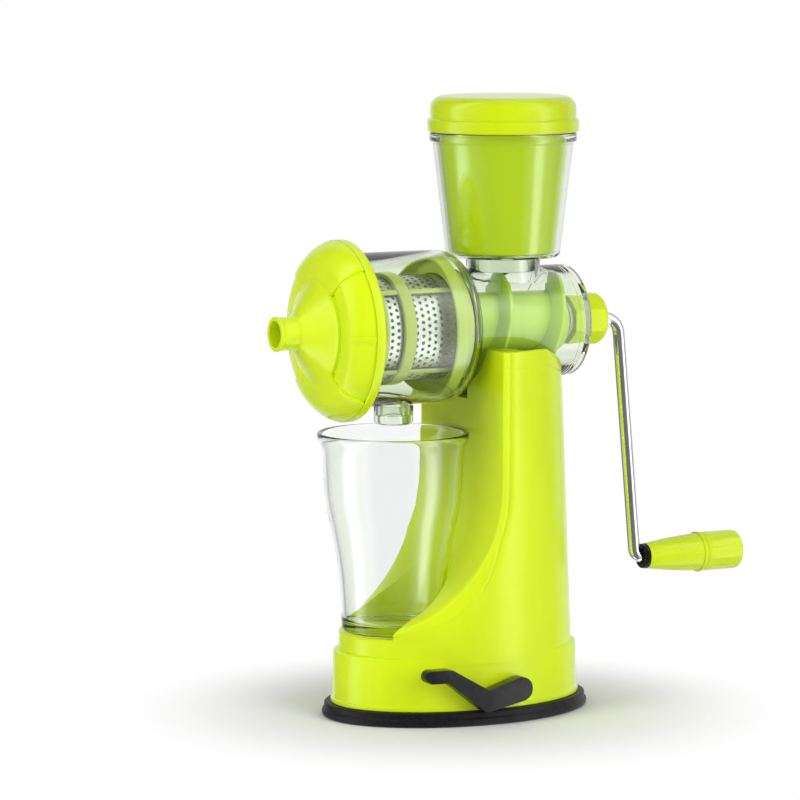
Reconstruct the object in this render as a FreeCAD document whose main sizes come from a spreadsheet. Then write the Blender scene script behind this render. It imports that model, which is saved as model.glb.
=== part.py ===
"""Hand-cranked juicer with a vacuum foot, as a parametric FreeCAD document.

Frame: the origin is the centre of the foot where it rests on the table, +Z is up, +X points
to the crank and -X to the pulp nozzle. The lever that draws the vacuum is on the -Y side.
All lengths are millimetres. Turned pieces on the auger's axis are drawn about the X axis
and raised to the axis height by their placement; upright ones are drawn about Z.
"""
import FreeCAD
import Part
import Sketcher
import math
import os

# name, value, what it is
SIZES = [
    ("axis_height", 214.0, "auger axis above the table"),
    ("running_gap", 0.3, "gap between pieces that slide or turn past each other"),
    ("shaft_gap", 0.06, "radial clearance of a shaft in its bush"),
    ("press_gap", 0.05, "radial clearance of a piece pushed into its seat"),
    # foot
    ("pad_half_length", 78.3, "suction pad, half length along X"),
    ("pad_half_width", 54.1, "suction pad, half width along Y"),
    ("pad_height", 7.9, "suction pad, rim height"),
    ("pad_draft", 1.4, "how far the pad's side leans in"),
    ("pad_web_top", 4.2, "top of the pad's thin middle"),
    ("pad_web_radius", 32.0, "radius of the pad's thin middle"),
    ("stem_disc_radius", 14.0, "steel disc moulded into the pad"),
    ("stem_disc_thickness", 1.2, "thickness of that disc"),
    ("stem_disc_height", 1.9, "underside of that disc above the table"),
    ("stem_radius", 6.0, "lift stem"),
    ("stem_top", 19.5, "top of the lift stem"),
    # stand
    ("skirt_half_length", 73.1, "skirt, half length along X"),
    ("skirt_half_width", 49.8, "skirt, half width along Y"),
    ("skirt_top", 37.0, "ledge on top of the skirt"),
    ("column_half_length", 68.2, "column at the skirt, half length"),
    ("column_half_width", 48.9, "column at the skirt, half width"),
    ("stand_top", 203.0, "top of the column"),
    ("top_half_length", 60.5, "column at its top, half length"),
    ("top_half_width", 49.3, "column at its top, half width"),
    ("stand_wall", 3.0, "wall of the stand"),
    ("front_face", 3.8, "flat front of the column, its X"),
    ("scoop_radius", 72.0, "scooped front of the column"),
    ("scoop_height", 125.0, "where the scoop leaves the flat front"),
    ("scoop_turn", 66.0, "degrees through which the scoop turns"),
    ("bevel_start", 36.0, "where the column's top starts to fall to the rear"),
    ("bevel_drop", 12.0, "how far it falls"),
    ("foot_front", 8.0, "front of the chamber's foot"),
    ("foot_rear", 34.0, "rear of the chamber's foot"),
    ("foot_neck", 10.0, "width of the foot at its neck"),
    ("foot_width", 16.0, "width of the foot at its bottom"),
    ("foot_depth", 9.0, "depth of the foot below the tube"),
    # closing plate, screws and vacuum lever
    ("plate_thickness", 2.4, "closing plate under the stand"),
    ("screw_radius", 1.25, "shank of the plate's screws"),
    ("screw_head_radius", 2.9, "head of the plate's screws"),
    ("screw_head_height", 1.6, "depth of the countersunk head"),
    ("screw_length", 14.0, "length of the plate's screws"),
    ("screw_inset", 7.0, "screws inside the skirt's outline"),
    ("screw_boss_radius", 4.5, "boss that takes a screw"),
    ("lever_x", -10.0, "lever axle, its X"),
    ("lever_height", 14.0, "lever axle above the table"),
    ("axle_radius", 3.0, "lever axle"),
    ("axle_hold", 5.6, "length of the axle in the lever"),
    ("axle_rear", 16.0, "end of the axle on the far side"),
    ("crankpin_radius", 2.0, "pin of the axle's crank, in the stem's eye"),
    ("web_inner", 7.0, "inner face of the axle's crank webs"),
    ("web_thickness", 3.0, "thickness of those webs"),
    ("eye_height_gap", 0.25, "gap over and under the pin in the stem's eye"),
    ("eye_side_gap", 1.0, "room for the pin to swing sideways in the eye"),
    ("lever_gap", 1.2, "gap between the skirt and the lever"),
    ("lever_thickness", 7.5, "thickness of the lever's hub and arms"),
    ("lever_hub_radius", 5.6, "hub of the lever"),
    ("lever_arm_radius", 3.6, "half the height of the lever's thin arm"),
    ("arm_knee_x", -23.5, "knee of the thin arm from the axle"),
    ("arm_knee_z", 15.8, "height of that knee above the axle"),
    ("arm_tip_x", -34.6, "tip of the thin arm from the axle"),
    ("arm_tip_z", 16.1, "height of that tip above the axle"),
    ("paddle_x", 20.4, "centre of the paddle's end from the axle"),
    ("paddle_z", 5.4, "height of that centre above the axle"),
    ("paddle_radius", 6.6, "half the height of the paddle's end"),
    # chamber
    ("drum_front", -77.0, "open front of the chamber's drum"),
    ("drum_rear", -12.0, "where the drum's shoulder starts"),
    ("drum_radius", 42.0, "outside of the drum"),
    ("tube_radius", 31.0, "outside of the feed tube"),
    ("chamber_wall", 2.5, "wall of the chamber"),
    ("tube_rear", 69.0, "rear face of the feed tube"),
    ("rear_wall", 3.0, "rear wall of the feed tube"),
    ("hub_front", 64.0, "front of the hub inside the rear wall"),
    ("hub_radius", 13.0, "outside of that hub"),
    ("rim_width", 6.5, "rim round the rear of the feed tube"),
    ("rim_groove", 0.6, "depth and width of the line in front of the rim"),
    ("hopper_x", 29.6, "axis of the hopper"),
    ("collar_radius", 20.5, "collar that takes the hopper"),
    ("collar_height", 37.0, "top of the collar above the axis"),
    ("throat_radius", 18.0, "hole in the collar"),
    ("spout_x", -38.4, "axis of the juice spout"),
    ("nipple_radius", 9.3, "nipple that carries the spout"),
    ("nipple_bore", 6.0, "bore of that nipple"),
    ("nipple_length", 5.4, "nipple below the drum"),
    ("spout_radius", 10.85, "outside of the spout"),
    ("spout_bore", 7.4, "mouth of the spout"),
    ("spout_drop", 10.5, "bottom of the spout below the drum"),
    ("spout_edge", 2.2, "rounding at the bottom of the spout"),
    # strainer
    ("mesh_clearance", 1.0, "gap between the auger's flight and the sleeve"),
    ("mesh_thickness", 0.6, "sheet of the perforated sleeve"),
    ("mesh_gap", 0.35, "gap round the sleeve in its frame"),
    ("mesh_front", -68.0, "front of the perforated sleeve"),
    ("mesh_rear", -13.0, "rear of the perforated sleeve"),
    ("rib_height", 1.5, "rings and ribs stand this far over the sleeve"),
    ("front_ring", -47.2, "front of the strainer's broad ring"),
    ("front_ring_width", 7.0, "width of the broad ring"),
    ("front_ring_height", 0.9, "broad ring over the ribs"),
    ("mid_ring", -57.0, "middle of the strainer's narrow ring"),
    ("mid_ring_width", 2.2, "width of the narrow ring"),
    ("rib_width", 3.0, "width of the strainer's long ribs"),
    ("rib_count", 4, "number of long ribs"),
    ("edge_ring", -19.5, "front of the ring on the strainer's rear flange"),
    ("flange_thickness", 1.7, "thickness of the strainer's flanges and of that ring"),
    # cover
    ("cover_rear", -67.6, "rear face of the cover's rim"),
    ("cover_rim_front", -73.0, "front of the cover's rim"),
    ("cover_rim_radius", 49.7, "rim of the cover"),
    ("cover_gap", 0.4, "cover over the drum"),
    ("band_radius", 47.6, "cover's band behind the rim"),
    ("band_front_x", -84.2, "front of the cover's band"),
    ("band_front_radius", 39.0, "radius there"),
    ("band_bulge", 17.0, "radius of the band's rounded section"),
    ("face_radius", 29.2, "edge of the cone on the cover's face"),
    ("face_x", -86.4, "that edge's X"),
    ("face_step", 2.0, "step at that edge"),
    ("nozzle_root", -98.6, "where the cone meets the nozzle"),
    ("nozzle_radius", 9.0, "outside of the pulp nozzle"),
    ("nozzle_bore", 7.1, "bore of the pulp nozzle"),
    ("nozzle_tip", -110.4, "end of the pulp nozzle"),
    ("nozzle_lip", 0.5, "lip round the nozzle's end"),
    ("nozzle_lip_width", 1.8, "width of that lip"),
    ("cover_wall", 2.6, "wall of the cover"),
    ("lobe_height", 1.7, "raised lobes on the cover's band"),
    ("lobe_angle", 86.0, "degrees that each lobe spans"),
    ("lobe_count", 2, "number of lobes"),
    ("grip_rib_angle", 4.0, "degrees that each small rib spans"),
    ("grip_rib_height", 0.9, "small ribs between the lobes"),
    ("seal_width", 3.0, "radial width of the cover's seal"),
    ("seal_thickness", 1.5, "thickness of the cover's seal"),
    # auger and drive
    ("core_radius", 17.5, "auger core under the hopper"),
    ("core_front_radius", 21.5, "auger core at the front of the strainer"),
    ("core_front", -52.0, "front of the core's taper"),
    ("core_taper_start", 0.0, "where the core starts to widen"),
    ("nose_front", -74.0, "front of the auger's nose"),
    ("nose_radius", 6.0, "tip of that nose"),
    ("flight_gap", 0.5, "gap between the auger's flight and the feed tube"),
    ("flight_pitch", 33.0, "pitch of the flight"),
    ("flight_turn", 175.0, "degrees by which the flight's front end is turned from the top"),
    ("flight_start", -55.0, "front end of the flight"),
    ("flight_root", 5.0, "thickness of the flight at its root"),
    ("flight_tip", 2.6, "thickness of the flight at its edge"),
    ("flight_sink", 1.5, "flight rooted below the core's surface"),
    ("shaft_radius", 5.0, "drive shaft"),
    ("shaft_front", 24.0, "front end of the drive shaft, in the auger"),
    ("shaft_square", 7.6, "square end of the drive shaft"),
    ("shaft_rear", 81.0, "rear end of the drive shaft"),
    ("bush_radius", 9.0, "outside of the rear bush"),
    ("bush_flange_radius", 11.5, "flange of the rear bush"),
    ("bush_flange", 2.0, "thickness of that flange"),
    ("shaft_seal_thickness", 1.0, "seal washer in front of the hub"),
    ("shaft_seal_radius", 11.0, "outside of the seal washer"),
    ("knob_radius", 14.9, "crank knob"),
    ("knob_flat", 13.9, "half the width over the knob's flats"),
    ("knob_flats", 8, "number of flats on the knob"),
    ("knob_length", 19.4, "length of the knob"),
    ("knob_end_radius", 11.6, "flat end of the knob"),
    ("knob_round", 5.6, "length of the knob's rounded end"),
    # crank
    ("rod_radius", 3.5, "crank rod"),
    ("rod_start", 82.0, "end of the rod in the knob"),
    ("rod_top_x", 103.0, "corner of the rod at the axis"),
    ("rod_bottom_x", 115.1, "corner of the rod at the grip"),
    ("crank_radius", 137.0, "axis of the grip below the auger's axis"),
    ("top_bend", 10.0, "bend radius at the top of the rod"),
    ("bottom_bend", 5.0, "bend radius at the bottom of the rod"),
    ("pin_end", 160.0, "end of the rod in the grip"),
    ("grip_start", 119.0, "inner end of the grip"),
    ("grip_bush_length", 3.0, "black bush at the grip's inner end"),
    ("grip_start_radius", 7.2, "grip at its inner end"),
    ("grip_ring_x", 157.5, "joint between the grip's sleeve and its cap"),
    ("grip_ring_radius", 11.4, "ring at that joint"),
    ("grip_ring_width", 2.4, "width of that ring"),
    ("grip_end_radius", 10.7, "grip before its ring"),
    ("grip_pocket_depth", 3.5, "pocket in the sleeve for the retainer"),
    ("grip_pocket_radius", 8.4, "radius of that pocket"),
    ("cap_radius", 11.1, "grip cap"),
    ("cap_end", 181.5, "outer end of the grip cap"),
    ("cap_hollow_radius", 6.6, "hollow in the cap"),
    ("cap_round", 2.5, "rounding at the cap's end"),
    ("cap_flat", 10.6, "half the width over the cap's flats"),
    ("cap_flats", 12, "number of flats on the cap"),
    ("retainer_radius", 6.0, "push-on ring that holds the grip"),
    ("retainer_thickness", 1.0, "thickness of that ring"),
    # hopper and pusher
    ("hopper_height", 68.5, "hopper, floor to rim"),
    ("hopper_foot_radius", 31.4, "hopper at its floor"),
    ("hopper_top_radius", 38.9, "hopper under its rim"),
    ("hopper_rim_radius", 40.6, "rim of the hopper"),
    ("hopper_rim_height", 5.6, "height of that rim"),
    ("hopper_wall", 2.2, "wall of the hopper"),
    ("hopper_floor", 1.5, "floor of the hopper"),
    ("spigot_length", 8.0, "spigot under the hopper"),
    ("spigot_wall", 2.4, "wall of that spigot"),
    ("pusher_foot_gap", 0.7, "gap between the pusher and the hopper at the bottom"),
    ("pusher_top_gap", 0.8, "gap between the pusher and the hopper at the top"),
    ("pusher_wall", 2.2, "wall of the pusher"),
    ("pusher_edge", 2.5, "rounding at the pusher's bottom"),
    ("cap_rim_radius", 41.8, "rim of the pusher's cap"),
    ("cap_rim_height", 7.2, "height of that rim"),
    ("crown_radius", 40.3, "crown of the cap"),
    ("crown_height", 19.5, "top of the cap above its rim's underside"),
    ("crown_shoulder", 6.6, "rounded shoulder of the crown"),
    ("crown_rise", 0.7, "rise of the crown's top towards its middle"),
    ("crown_groove", 0.7, "groove between the rim and the crown"),
    ("cap_wall", 2.4, "wall of the pusher's cap"),
    ("cap_plug_depth", 5.0, "ring of the cap that goes into the pusher"),
    # glass
    ("glass_floor", 47.0, "floor of the recess for the glass"),
    ("glass_x", -38.6, "axis of the glass"),
    ("glass_room", 0.9, "room round the glass in its recess"),
    ("glass_headroom", 4.5, "gap between the glass and the spout above it"),
    ("glass_foot_radius", 28.5, "glass at its foot"),
    ("glass_foot_share", 0.2005, "straight foot, share of the glass's height"),
    ("glass_mid_radius", 33.0, "glass in the middle of its flare"),
    ("glass_mid_share", 0.474, "height there, share of the glass's height"),
    ("glass_hip_radius", 37.8, "glass above its flare"),
    ("glass_hip_share", 0.6746, "height there, share of the glass's height"),
    ("glass_neck_radius", 38.7, "glass under its rim"),
    ("glass_neck_share", 0.9207, "height there, share of the glass's height"),
    ("glass_rim_radius", 41.8, "rim of the glass"),
    ("glass_flare_low", 75.0, "radius of the flare's hollow curve"),
    ("glass_flare_high", 60.0, "radius of the flare's round curve"),
    ("glass_wall", 2.2, "wall of the glass"),
    ("glass_base", 5.0, "thickness of the glass's base"),
    ("glass_rim_bead", 3.0, "height of the bead at the rim"),
]


class Size:
    """A length with the spreadsheet formula it comes from."""

    def __init__(self, value, formula):
        self.value = value
        self.formula = formula

    def _join(self, other, sign, value):
        formula = other.formula if isinstance(other, Size) else repr(other)
        return Size(value, f"({self.formula} {sign} {formula})")

    def __add__(self, other):
        return self._join(other, "+", self.value + number(other))

    def __sub__(self, other):
        return self._join(other, "-", self.value - number(other))

    def __mul__(self, other):
        return self._join(other, "*", self.value * number(other))

    def __truediv__(self, other):
        return self._join(other, "/", self.value / number(other))

    def __neg__(self):
        return Size(-self.value, f"(0 - {self.formula})")


def number(size):
    return size.value if isinstance(size, Size) else float(size)


def cosine(angle):
    return Size(math.cos(math.radians(angle.value)), f"cos({angle.formula})")


def sine(angle):
    return Size(math.sin(math.radians(angle.value)), f"sin({angle.formula})")


def root(size):
    return Size(math.sqrt(size.value), f"sqrt({size.formula})")


doc = FreeCAD.newDocument("juicer")
sheet = doc.addObject("Spreadsheet::Sheet", "Sizes")
for row, (alias, value, meaning) in enumerate(SIZES, start=1):
    sheet.set(f"A{row}", alias)
    sheet.set(f"B{row}", str(value))
    sheet.set(f"C{row}", meaning)
    sheet.setAlias(f"B{row}", alias)
doc.recompute()


class Sheet:
    """Gives each spreadsheet cell as a Size, by its alias."""

    def __getattr__(self, alias):
        return Size(float(sheet.get(alias)), f"Sizes.{alias}")


S = Sheet()
pieces = []


# ---------------------------------------------------------------- drawing helpers

def bind(thing, path, size):
    """Tie a property to a spreadsheet formula, or set it where it is a plain number."""
    if isinstance(size, Size):
        thing.setExpression(path, size.formula)
    else:
        setattr(thing, path, size)


def body(name, x=None, z=None, keep=True):
    """A new body; its frame stands at (x, 0, z)."""
    new = doc.addObject("PartDesign::Body", name)
    new.Label = name
    if x is not None:
        new.setExpression("Placement.Base.x", x.formula)
    if z is not None:
        new.setExpression("Placement.Base.z", z.formula)
    if keep:
        pieces.append(new)
    return new


def sketch(owner, name, plane, offset=None):
    """An empty sketch on one of the body's own planes, moved along the plane's normal."""
    new = owner.newObject("Sketcher::SketchObject", name)
    support = [face for face in owner.Origin.OriginFeatures if face.Role == plane][0]
    new.AttachmentSupport = [(support, "")]
    new.MapMode = "FlatFace"
    if offset is not None:
        new.setExpression("AttachmentOffset.Base.z", offset.formula)
    return new


def fix_point(drawing, item, end, x, y):
    """Place one end of a sketch item by its two distances from the origin."""
    for kind, size in (("DistanceX", x), ("DistanceY", y)):
        index = drawing.addConstraint(Sketcher.Constraint(kind, -1, 1, item, end, number(size)))
        if isinstance(size, Size):
            drawing.setExpression(f"Constraints[{index}]", size.formula)


def fix_size(drawing, kind, item, size):
    index = drawing.addConstraint(Sketcher.Constraint(kind, item, number(size)))
    if isinstance(size, Size):
        drawing.setExpression(f"Constraints[{index}]", size.formula)


def arc_between(start, end, radius):
    """The smaller arc from start to end; a positive radius turns left, a negative one right."""
    chord = end - start
    half = chord.Length / 2
    left = FreeCAD.Vector(-chord.y, chord.x, 0).normalize()
    side = 1 if radius > 0 else -1
    centre = start + chord / 2 + left * side * math.sqrt(max(radius ** 2 - half ** 2, 0))
    first, last = (start, end) if radius > 0 else (end, start)
    angles = [math.atan2(p.y - centre.y, p.x - centre.x) for p in (first, last)]
    if angles[1] < angles[0]:
        angles[1] += 2 * math.pi
    circle = Part.Circle(centre, FreeCAD.Vector(0, 0, 1), abs(radius))
    return Part.ArcOfCircle(circle, angles[0], angles[1])


def outline(drawing, corners, closed=True):
    """Lines and arcs through (x, y) corners; a third entry is the radius of the arc to it."""
    points = [FreeCAD.Vector(number(c[0]), number(c[1]), 0) for c in corners]
    count = len(corners)
    ends = []
    for i in range(0 if closed else 1, count):
        before = points[i - 1]
        radius = number(corners[i][2]) if len(corners[i]) > 2 else None
        if radius is None:
            item = drawing.addGeometry(Part.LineSegment(before, points[i]), False)
            ends.append((item, 1, 2))
        else:
            item = drawing.addGeometry(arc_between(before, points[i], radius), False)
            ends.append((item, 1, 2) if radius > 0 else (item, 2, 1))
    spans = list(range(0 if closed else 1, count))
    for k, i in enumerate(spans):
        item, first, last = ends[k]
        fix_point(drawing, item, last, corners[i][0], corners[i][1])
        if k == 0 and not closed:
            fix_point(drawing, item, first, corners[0][0], corners[0][1])
        else:
            joined, _, end = ends[k - 1]
            drawing.addConstraint(Sketcher.Constraint("Coincident", joined, end, item, first))
        if len(corners[i]) > 2:
            radius = corners[i][2]
            size = radius if number(radius) > 0 else -radius
            fix_size(drawing, "Radius", item, size)
    return drawing


def circle(drawing, x, y, radius):
    centre = FreeCAD.Vector(number(x), number(y), 0)
    item = drawing.addGeometry(Part.Circle(centre, FreeCAD.Vector(0, 0, 1), number(radius)), False)
    fix_point(drawing, item, 3, x, y)
    fix_size(drawing, "Radius", item, radius)
    return drawing


def ellipse(drawing, half_length, half_width):
    """An ellipse about the sketch's origin, long along its X."""
    shape = Part.Ellipse(FreeCAD.Vector(0, 0, 0), number(half_length), number(half_width))
    item = drawing.addGeometry(shape, False)
    drawing.exposeInternalGeometry(item)
    drawing.addConstraint(Sketcher.Constraint("Coincident", item, 3, -1, 1))
    drawing.addConstraint(Sketcher.Constraint("Horizontal", item + 1))
    fix_size(drawing, "Distance", item + 1, half_length * 2)
    fix_size(drawing, "Distance", item + 2, half_width * 2)
    return drawing


def turned(owner, name, corners, axis="H_Axis", cut=False, plane="XZ_Plane"):
    """Revolve an outline about the sketch's own axis, to add it or to cut it away."""
    drawing = outline(sketch(owner, name + "_profile", plane), corners)
    kind = "PartDesign::Groove" if cut else "PartDesign::Revolution"
    new = owner.newObject(kind, name)
    new.Profile = drawing
    new.ReferenceAxis = (drawing, [axis])
    new.Angle = 360
    return new


def part_turned(owner, name, corners, angle, plane="XZ_Plane"):
    """Revolve an outline about the X axis through a part turn, even on both sides of it."""
    drawing = outline(sketch(owner, name + "_profile", plane), corners)
    new = owner.newObject("PartDesign::Revolution", name)
    new.Profile = drawing
    new.ReferenceAxis = (drawing, ["H_Axis"])
    new.Midplane = True
    bind(new, "Angle", angle)
    return new


def extruded(owner, name, drawing, length, cut=False, both_ways=False, back=False):
    """Pad or pocket a sketch. A pad goes along the plane's normal, a pocket against it."""
    new = owner.newObject("PartDesign::Pocket" if cut else "PartDesign::Pad", name)
    new.Profile = drawing
    bind(new, "Length", length)
    if both_ways:
        new.SideType = "Symmetric"
    new.Reversed = back
    return new


def around(owner, name, features, count):
    """Repeat features about the body's X axis."""
    new = owner.newObject("PartDesign::PolarPattern", name)
    new.Originals = features
    axis = [line for line in owner.Origin.OriginFeatures if line.Role == "X_Axis"][0]
    new.Axis = (axis, [""])
    new.Angle = 360
    new.setExpression("Occurrences", count.formula)
    owner.Tip = new
    return new


# ---------------------------------------------------------------- sizes that several pieces share

skirt_bottom = S.pad_height + S.running_gap
plate_top = skirt_bottom + S.plate_thickness
drum_bore = S.drum_radius - S.chamber_wall
tube_bore = S.tube_radius - S.chamber_wall
shoulder = S.drum_radius - S.tube_radius
foot_bottom = S.tube_radius + S.foot_depth
slope_rise = cosine(S.scoop_turn) / sine(S.scoop_turn)
scoop_end_x = S.front_face - S.scoop_radius + S.scoop_radius * cosine(S.scoop_turn)
scoop_end_z = S.scoop_height - S.scoop_radius * sine(S.scoop_turn)
knob_start = S.tube_rear + S.bush_flange + S.running_gap
knob_end = knob_start + S.knob_length
hopper_bottom = S.axis_height + S.collar_height
glass_bottom = S.glass_floor + S.running_gap
seal_front = S.drum_front - S.running_gap - S.seal_thickness
drum_bottom = S.axis_height - S.drum_radius
flight_radius = tube_bore - S.flight_gap
mesh_radius = flight_radius + S.mesh_clearance + S.mesh_thickness
core_rear = S.hub_front - S.shaft_seal_thickness - S.running_gap
pusher_foot_radius = S.hopper_foot_radius - S.hopper_wall - S.pusher_foot_gap
pusher_top_radius = S.hopper_top_radius - S.hopper_wall - S.pusher_top_gap
glass_height = drum_bottom - S.spout_drop - S.glass_headroom - glass_bottom
glass_foot_height = glass_height * S.glass_foot_share
glass_mid_height = glass_height * S.glass_mid_share
glass_hip_height = glass_height * S.glass_hip_share
glass_neck_height = glass_height * S.glass_neck_share
lever_inner = S.skirt_half_width + S.lever_gap
axle_reach = lever_inner + S.axle_hold


def screw_places():
    """The four screws stand on the skirt's outline drawn in, at the middle of each quarter."""
    x = (S.skirt_half_length - S.screw_inset) * math.sqrt(0.5)
    y = (S.skirt_half_width - S.screw_inset) * math.sqrt(0.5)
    return [(x, y), (-x, y), (-x, -y), (x, -y)]


def dovetail(drawing, gap):
    """Section of the chamber's foot, about the auger's axis; gap widens it into a slot."""
    neck = S.foot_neck / 2 + gap
    wide = S.foot_width / 2 + gap
    return [(-wide, -foot_bottom - gap), (wide, -foot_bottom - gap),
            (neck, -tube_bore), (-neck, -tube_bore)]


# ---------------------------------------------------------------- stand

def scoop_corners(skin):
    """Everything in front of the column: flat front, scoop and slope, moved in by skin."""
    face = S.front_face + skin
    end_x = scoop_end_x + cosine(S.scoop_turn) * skin
    end_z = scoop_end_z - sine(S.scoop_turn) * skin
    far_x = -S.pad_half_length * 1.5
    far_z = end_z + (far_x - end_x) * slope_rise
    above = S.stand_top * 1.1
    return [(far_x, above), (far_x, far_z), (end_x, end_z),
            (face, S.scoop_height, S.scoop_radius + skin), (face, above)]


def glass_room(name, skin):
    """Space for the glass and its way out to the front, grown by skin."""
    gap = S.glass_room + skin
    room = body(name, x=S.glass_x, keep=False)
    turned(room, name + "_round", [
        (0, S.glass_floor - skin),
        (S.glass_foot_radius + gap, S.glass_floor - skin),
        (S.glass_foot_radius + gap, glass_bottom + glass_foot_height),
        (S.glass_mid_radius + gap, glass_bottom + glass_mid_height),
        (S.glass_hip_radius + gap, glass_bottom + glass_hip_height),
        (0, glass_bottom + glass_hip_height)], axis="V_Axis")
    front = sketch(room, name + "_front_profile", "YZ_Plane")
    side = S.glass_foot_radius + gap
    top = glass_bottom + glass_foot_height
    outline(front, [(-side, S.glass_floor - skin), (side, S.glass_floor - skin),
                    (side, top), (-side, top)])
    extruded(room, name + "_front", front, S.pad_half_length, back=True)
    return room


def stand_outside():
    block = body("stand_outside", keep=False)
    skirt = ellipse(sketch(block, "skirt_outline", "XY_Plane", skirt_bottom),
                    S.skirt_half_length, S.skirt_half_width)
    extruded(block, "skirt", skirt, S.skirt_top - skirt_bottom)
    low = ellipse(sketch(block, "column_low", "XY_Plane", S.skirt_top),
                  S.column_half_length, S.column_half_width)
    high = ellipse(sketch(block, "column_high", "XY_Plane", S.stand_top),
                   S.top_half_length, S.top_half_width)
    column = block.newObject("PartDesign::AdditiveLoft", "column")
    column.Profile = low
    column.Sections = [high]
    column.Ruled = True
    width = S.pad_half_width * 3
    scoop = outline(sketch(block, "scoop_profile", "XZ_Plane"), scoop_corners(S.stand_wall * 0))
    extruded(block, "scoop", scoop, width, cut=True, both_ways=True)
    rear = S.column_half_length * 1.2
    bevel = outline(sketch(block, "bevel_profile", "XZ_Plane"), [
        (S.bevel_start, S.stand_top),
        (rear, S.stand_top - S.bevel_drop * (rear - S.bevel_start)
         / (S.top_half_length - S.bevel_start)),
        (rear, S.stand_top * 1.1),
        (S.bevel_start, S.stand_top * 1.1)])
    extruded(block, "bevel", bevel, width, cut=True, both_ways=True)
    cradle = circle(sketch(block, "cradle_profile", "YZ_Plane"),
                    0, S.axis_height, S.tube_radius + S.running_gap)
    extruded(block, "cradle", cradle, S.pad_half_length * 3, cut=True, both_ways=True)
    slot = sketch(block, "slot_profile", "YZ_Plane", S.foot_rear + S.running_gap)
    raised = [(y, z + S.axis_height) for y, z in dovetail(slot, S.running_gap)]
    outline(slot, raised)
    extruded(block, "slot", slot, S.foot_rear + S.running_gap, cut=True)
    axle = circle(sketch(block, "axle_hole_profile", "XZ_Plane"),
                  S.lever_x, S.lever_height, S.axle_radius + S.shaft_gap)
    extruded(block, "axle_hole", axle, axle_reach, cut=True, back=True)
    pilots = sketch(block, "pilot_profile", "XY_Plane", skirt_bottom)
    for x, y in screw_places():
        circle(pilots, x, y, S.screw_radius + S.press_gap)
    extruded(block, "pilot_holes", pilots, S.screw_length + S.running_gap, cut=True, back=True)
    return block


def stand_inside():
    """Hollow of the stand: the outside drawn in by the wall, less the screw bosses."""
    wall = S.stand_wall
    ceiling = S.axis_height - foot_bottom - S.running_gap - wall
    share = (ceiling - S.skirt_top) / (S.stand_top - S.skirt_top)
    top_length = S.column_half_length + (S.top_half_length - S.column_half_length) * share
    top_width = S.column_half_width + (S.top_half_width - S.column_half_width) * share
    hollow = body("stand_inside", keep=False)
    skirt = ellipse(sketch(hollow, "skirt_inside", "XY_Plane", S.pad_height),
                    S.skirt_half_length - wall, S.skirt_half_width - wall)
    extruded(hollow, "skirt_hollow", skirt, S.skirt_top - wall - S.pad_height)
    low = ellipse(sketch(hollow, "inside_low", "XY_Plane", S.skirt_top - wall),
                  S.column_half_length - wall, S.column_half_width - wall)
    high = ellipse(sketch(hollow, "inside_high", "XY_Plane", ceiling),
                   top_length - wall, top_width - wall)
    column = hollow.newObject("PartDesign::AdditiveLoft", "column_hollow")
    column.Profile = low
    column.Sections = [high]
    column.Ruled = True
    scoop = outline(sketch(hollow, "scoop_inside", "XZ_Plane"), scoop_corners(wall))
    extruded(hollow, "scoop_wall", scoop, S.pad_half_width * 3, cut=True, both_ways=True)
    bosses = sketch(hollow, "boss_profile", "XY_Plane", plate_top)
    for x, y in screw_places():
        circle(bosses, x, y, S.screw_boss_radius)
    extruded(hollow, "bosses", bosses, S.skirt_top, cut=True, back=True)
    return hollow


def boolean(kind, name, base, tool):
    new = doc.addObject(kind, name)
    new.Base = base
    new.Tool = tool
    new.Label = name
    return new


def stand_shell():
    inside = boolean("Part::Cut", "stand_hollow", stand_inside(),
                     glass_room("glass_room_wall", S.stand_wall))
    recessed = boolean("Part::Cut", "stand_recessed", stand_outside(),
                       glass_room("glass_room_free", S.stand_wall * 0))
    pieces.append(boolean("Part::Cut", "stand_shell", recessed, inside))


# ---------------------------------------------------------------- foot, plate and vacuum lever

def suction_pad():
    pad = body("suction_pad")
    low = ellipse(sketch(pad, "pad_low", "XY_Plane"), S.pad_half_length, S.pad_half_width)
    high = ellipse(sketch(pad, "pad_high", "XY_Plane", S.pad_height),
                   S.pad_half_length - S.pad_draft, S.pad_half_width - S.pad_draft)
    rim = pad.newObject("PartDesign::AdditiveLoft", "pad_rim")
    rim.Profile = low
    rim.Sections = [high]
    rim.Ruled = True
    gap = S.press_gap * 2
    disc_top = S.stem_disc_height + S.stem_disc_thickness
    turned(pad, "stem_seat", [
        (0, S.stem_disc_height - gap), (S.stem_disc_radius + gap, S.stem_disc_height - gap),
        (S.stem_disc_radius + gap, disc_top + gap), (S.stem_radius + gap, disc_top + gap),
        (S.stem_radius + gap, S.pad_web_top), (S.pad_web_radius, S.pad_web_top),
        (S.pad_web_radius, S.pad_height * 1.5), (0, S.pad_height * 1.5)],
        axis="V_Axis", cut=True)


def pad_stem():
    """Steel disc and stem; the stem's eye is a slot along Y for the axle's crank pin."""
    stem = body("pad_stem")
    disc_top = S.stem_disc_height + S.stem_disc_thickness
    turned(stem, "stem_turned", [
        (0, S.stem_disc_height), (S.stem_disc_radius, S.stem_disc_height),
        (S.stem_disc_radius, disc_top), (S.stem_radius, disc_top),
        (S.stem_radius, S.stem_top), (0, S.stem_top)], axis="V_Axis")
    half = S.crankpin_radius + S.eye_height_gap
    left = -S.crankpin_radius - S.eye_side_gap
    right = S.crankpin_radius + S.eye_height_gap
    eye = outline(sketch(stem, "eye_profile", "XZ_Plane"), [
        (left, S.lever_height - half), (right, S.lever_height - half),
        (right, S.lever_height + half), (left, S.lever_height + half)])
    extruded(stem, "eye", eye, S.stem_radius * 3, cut=True, both_ways=True)


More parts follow.
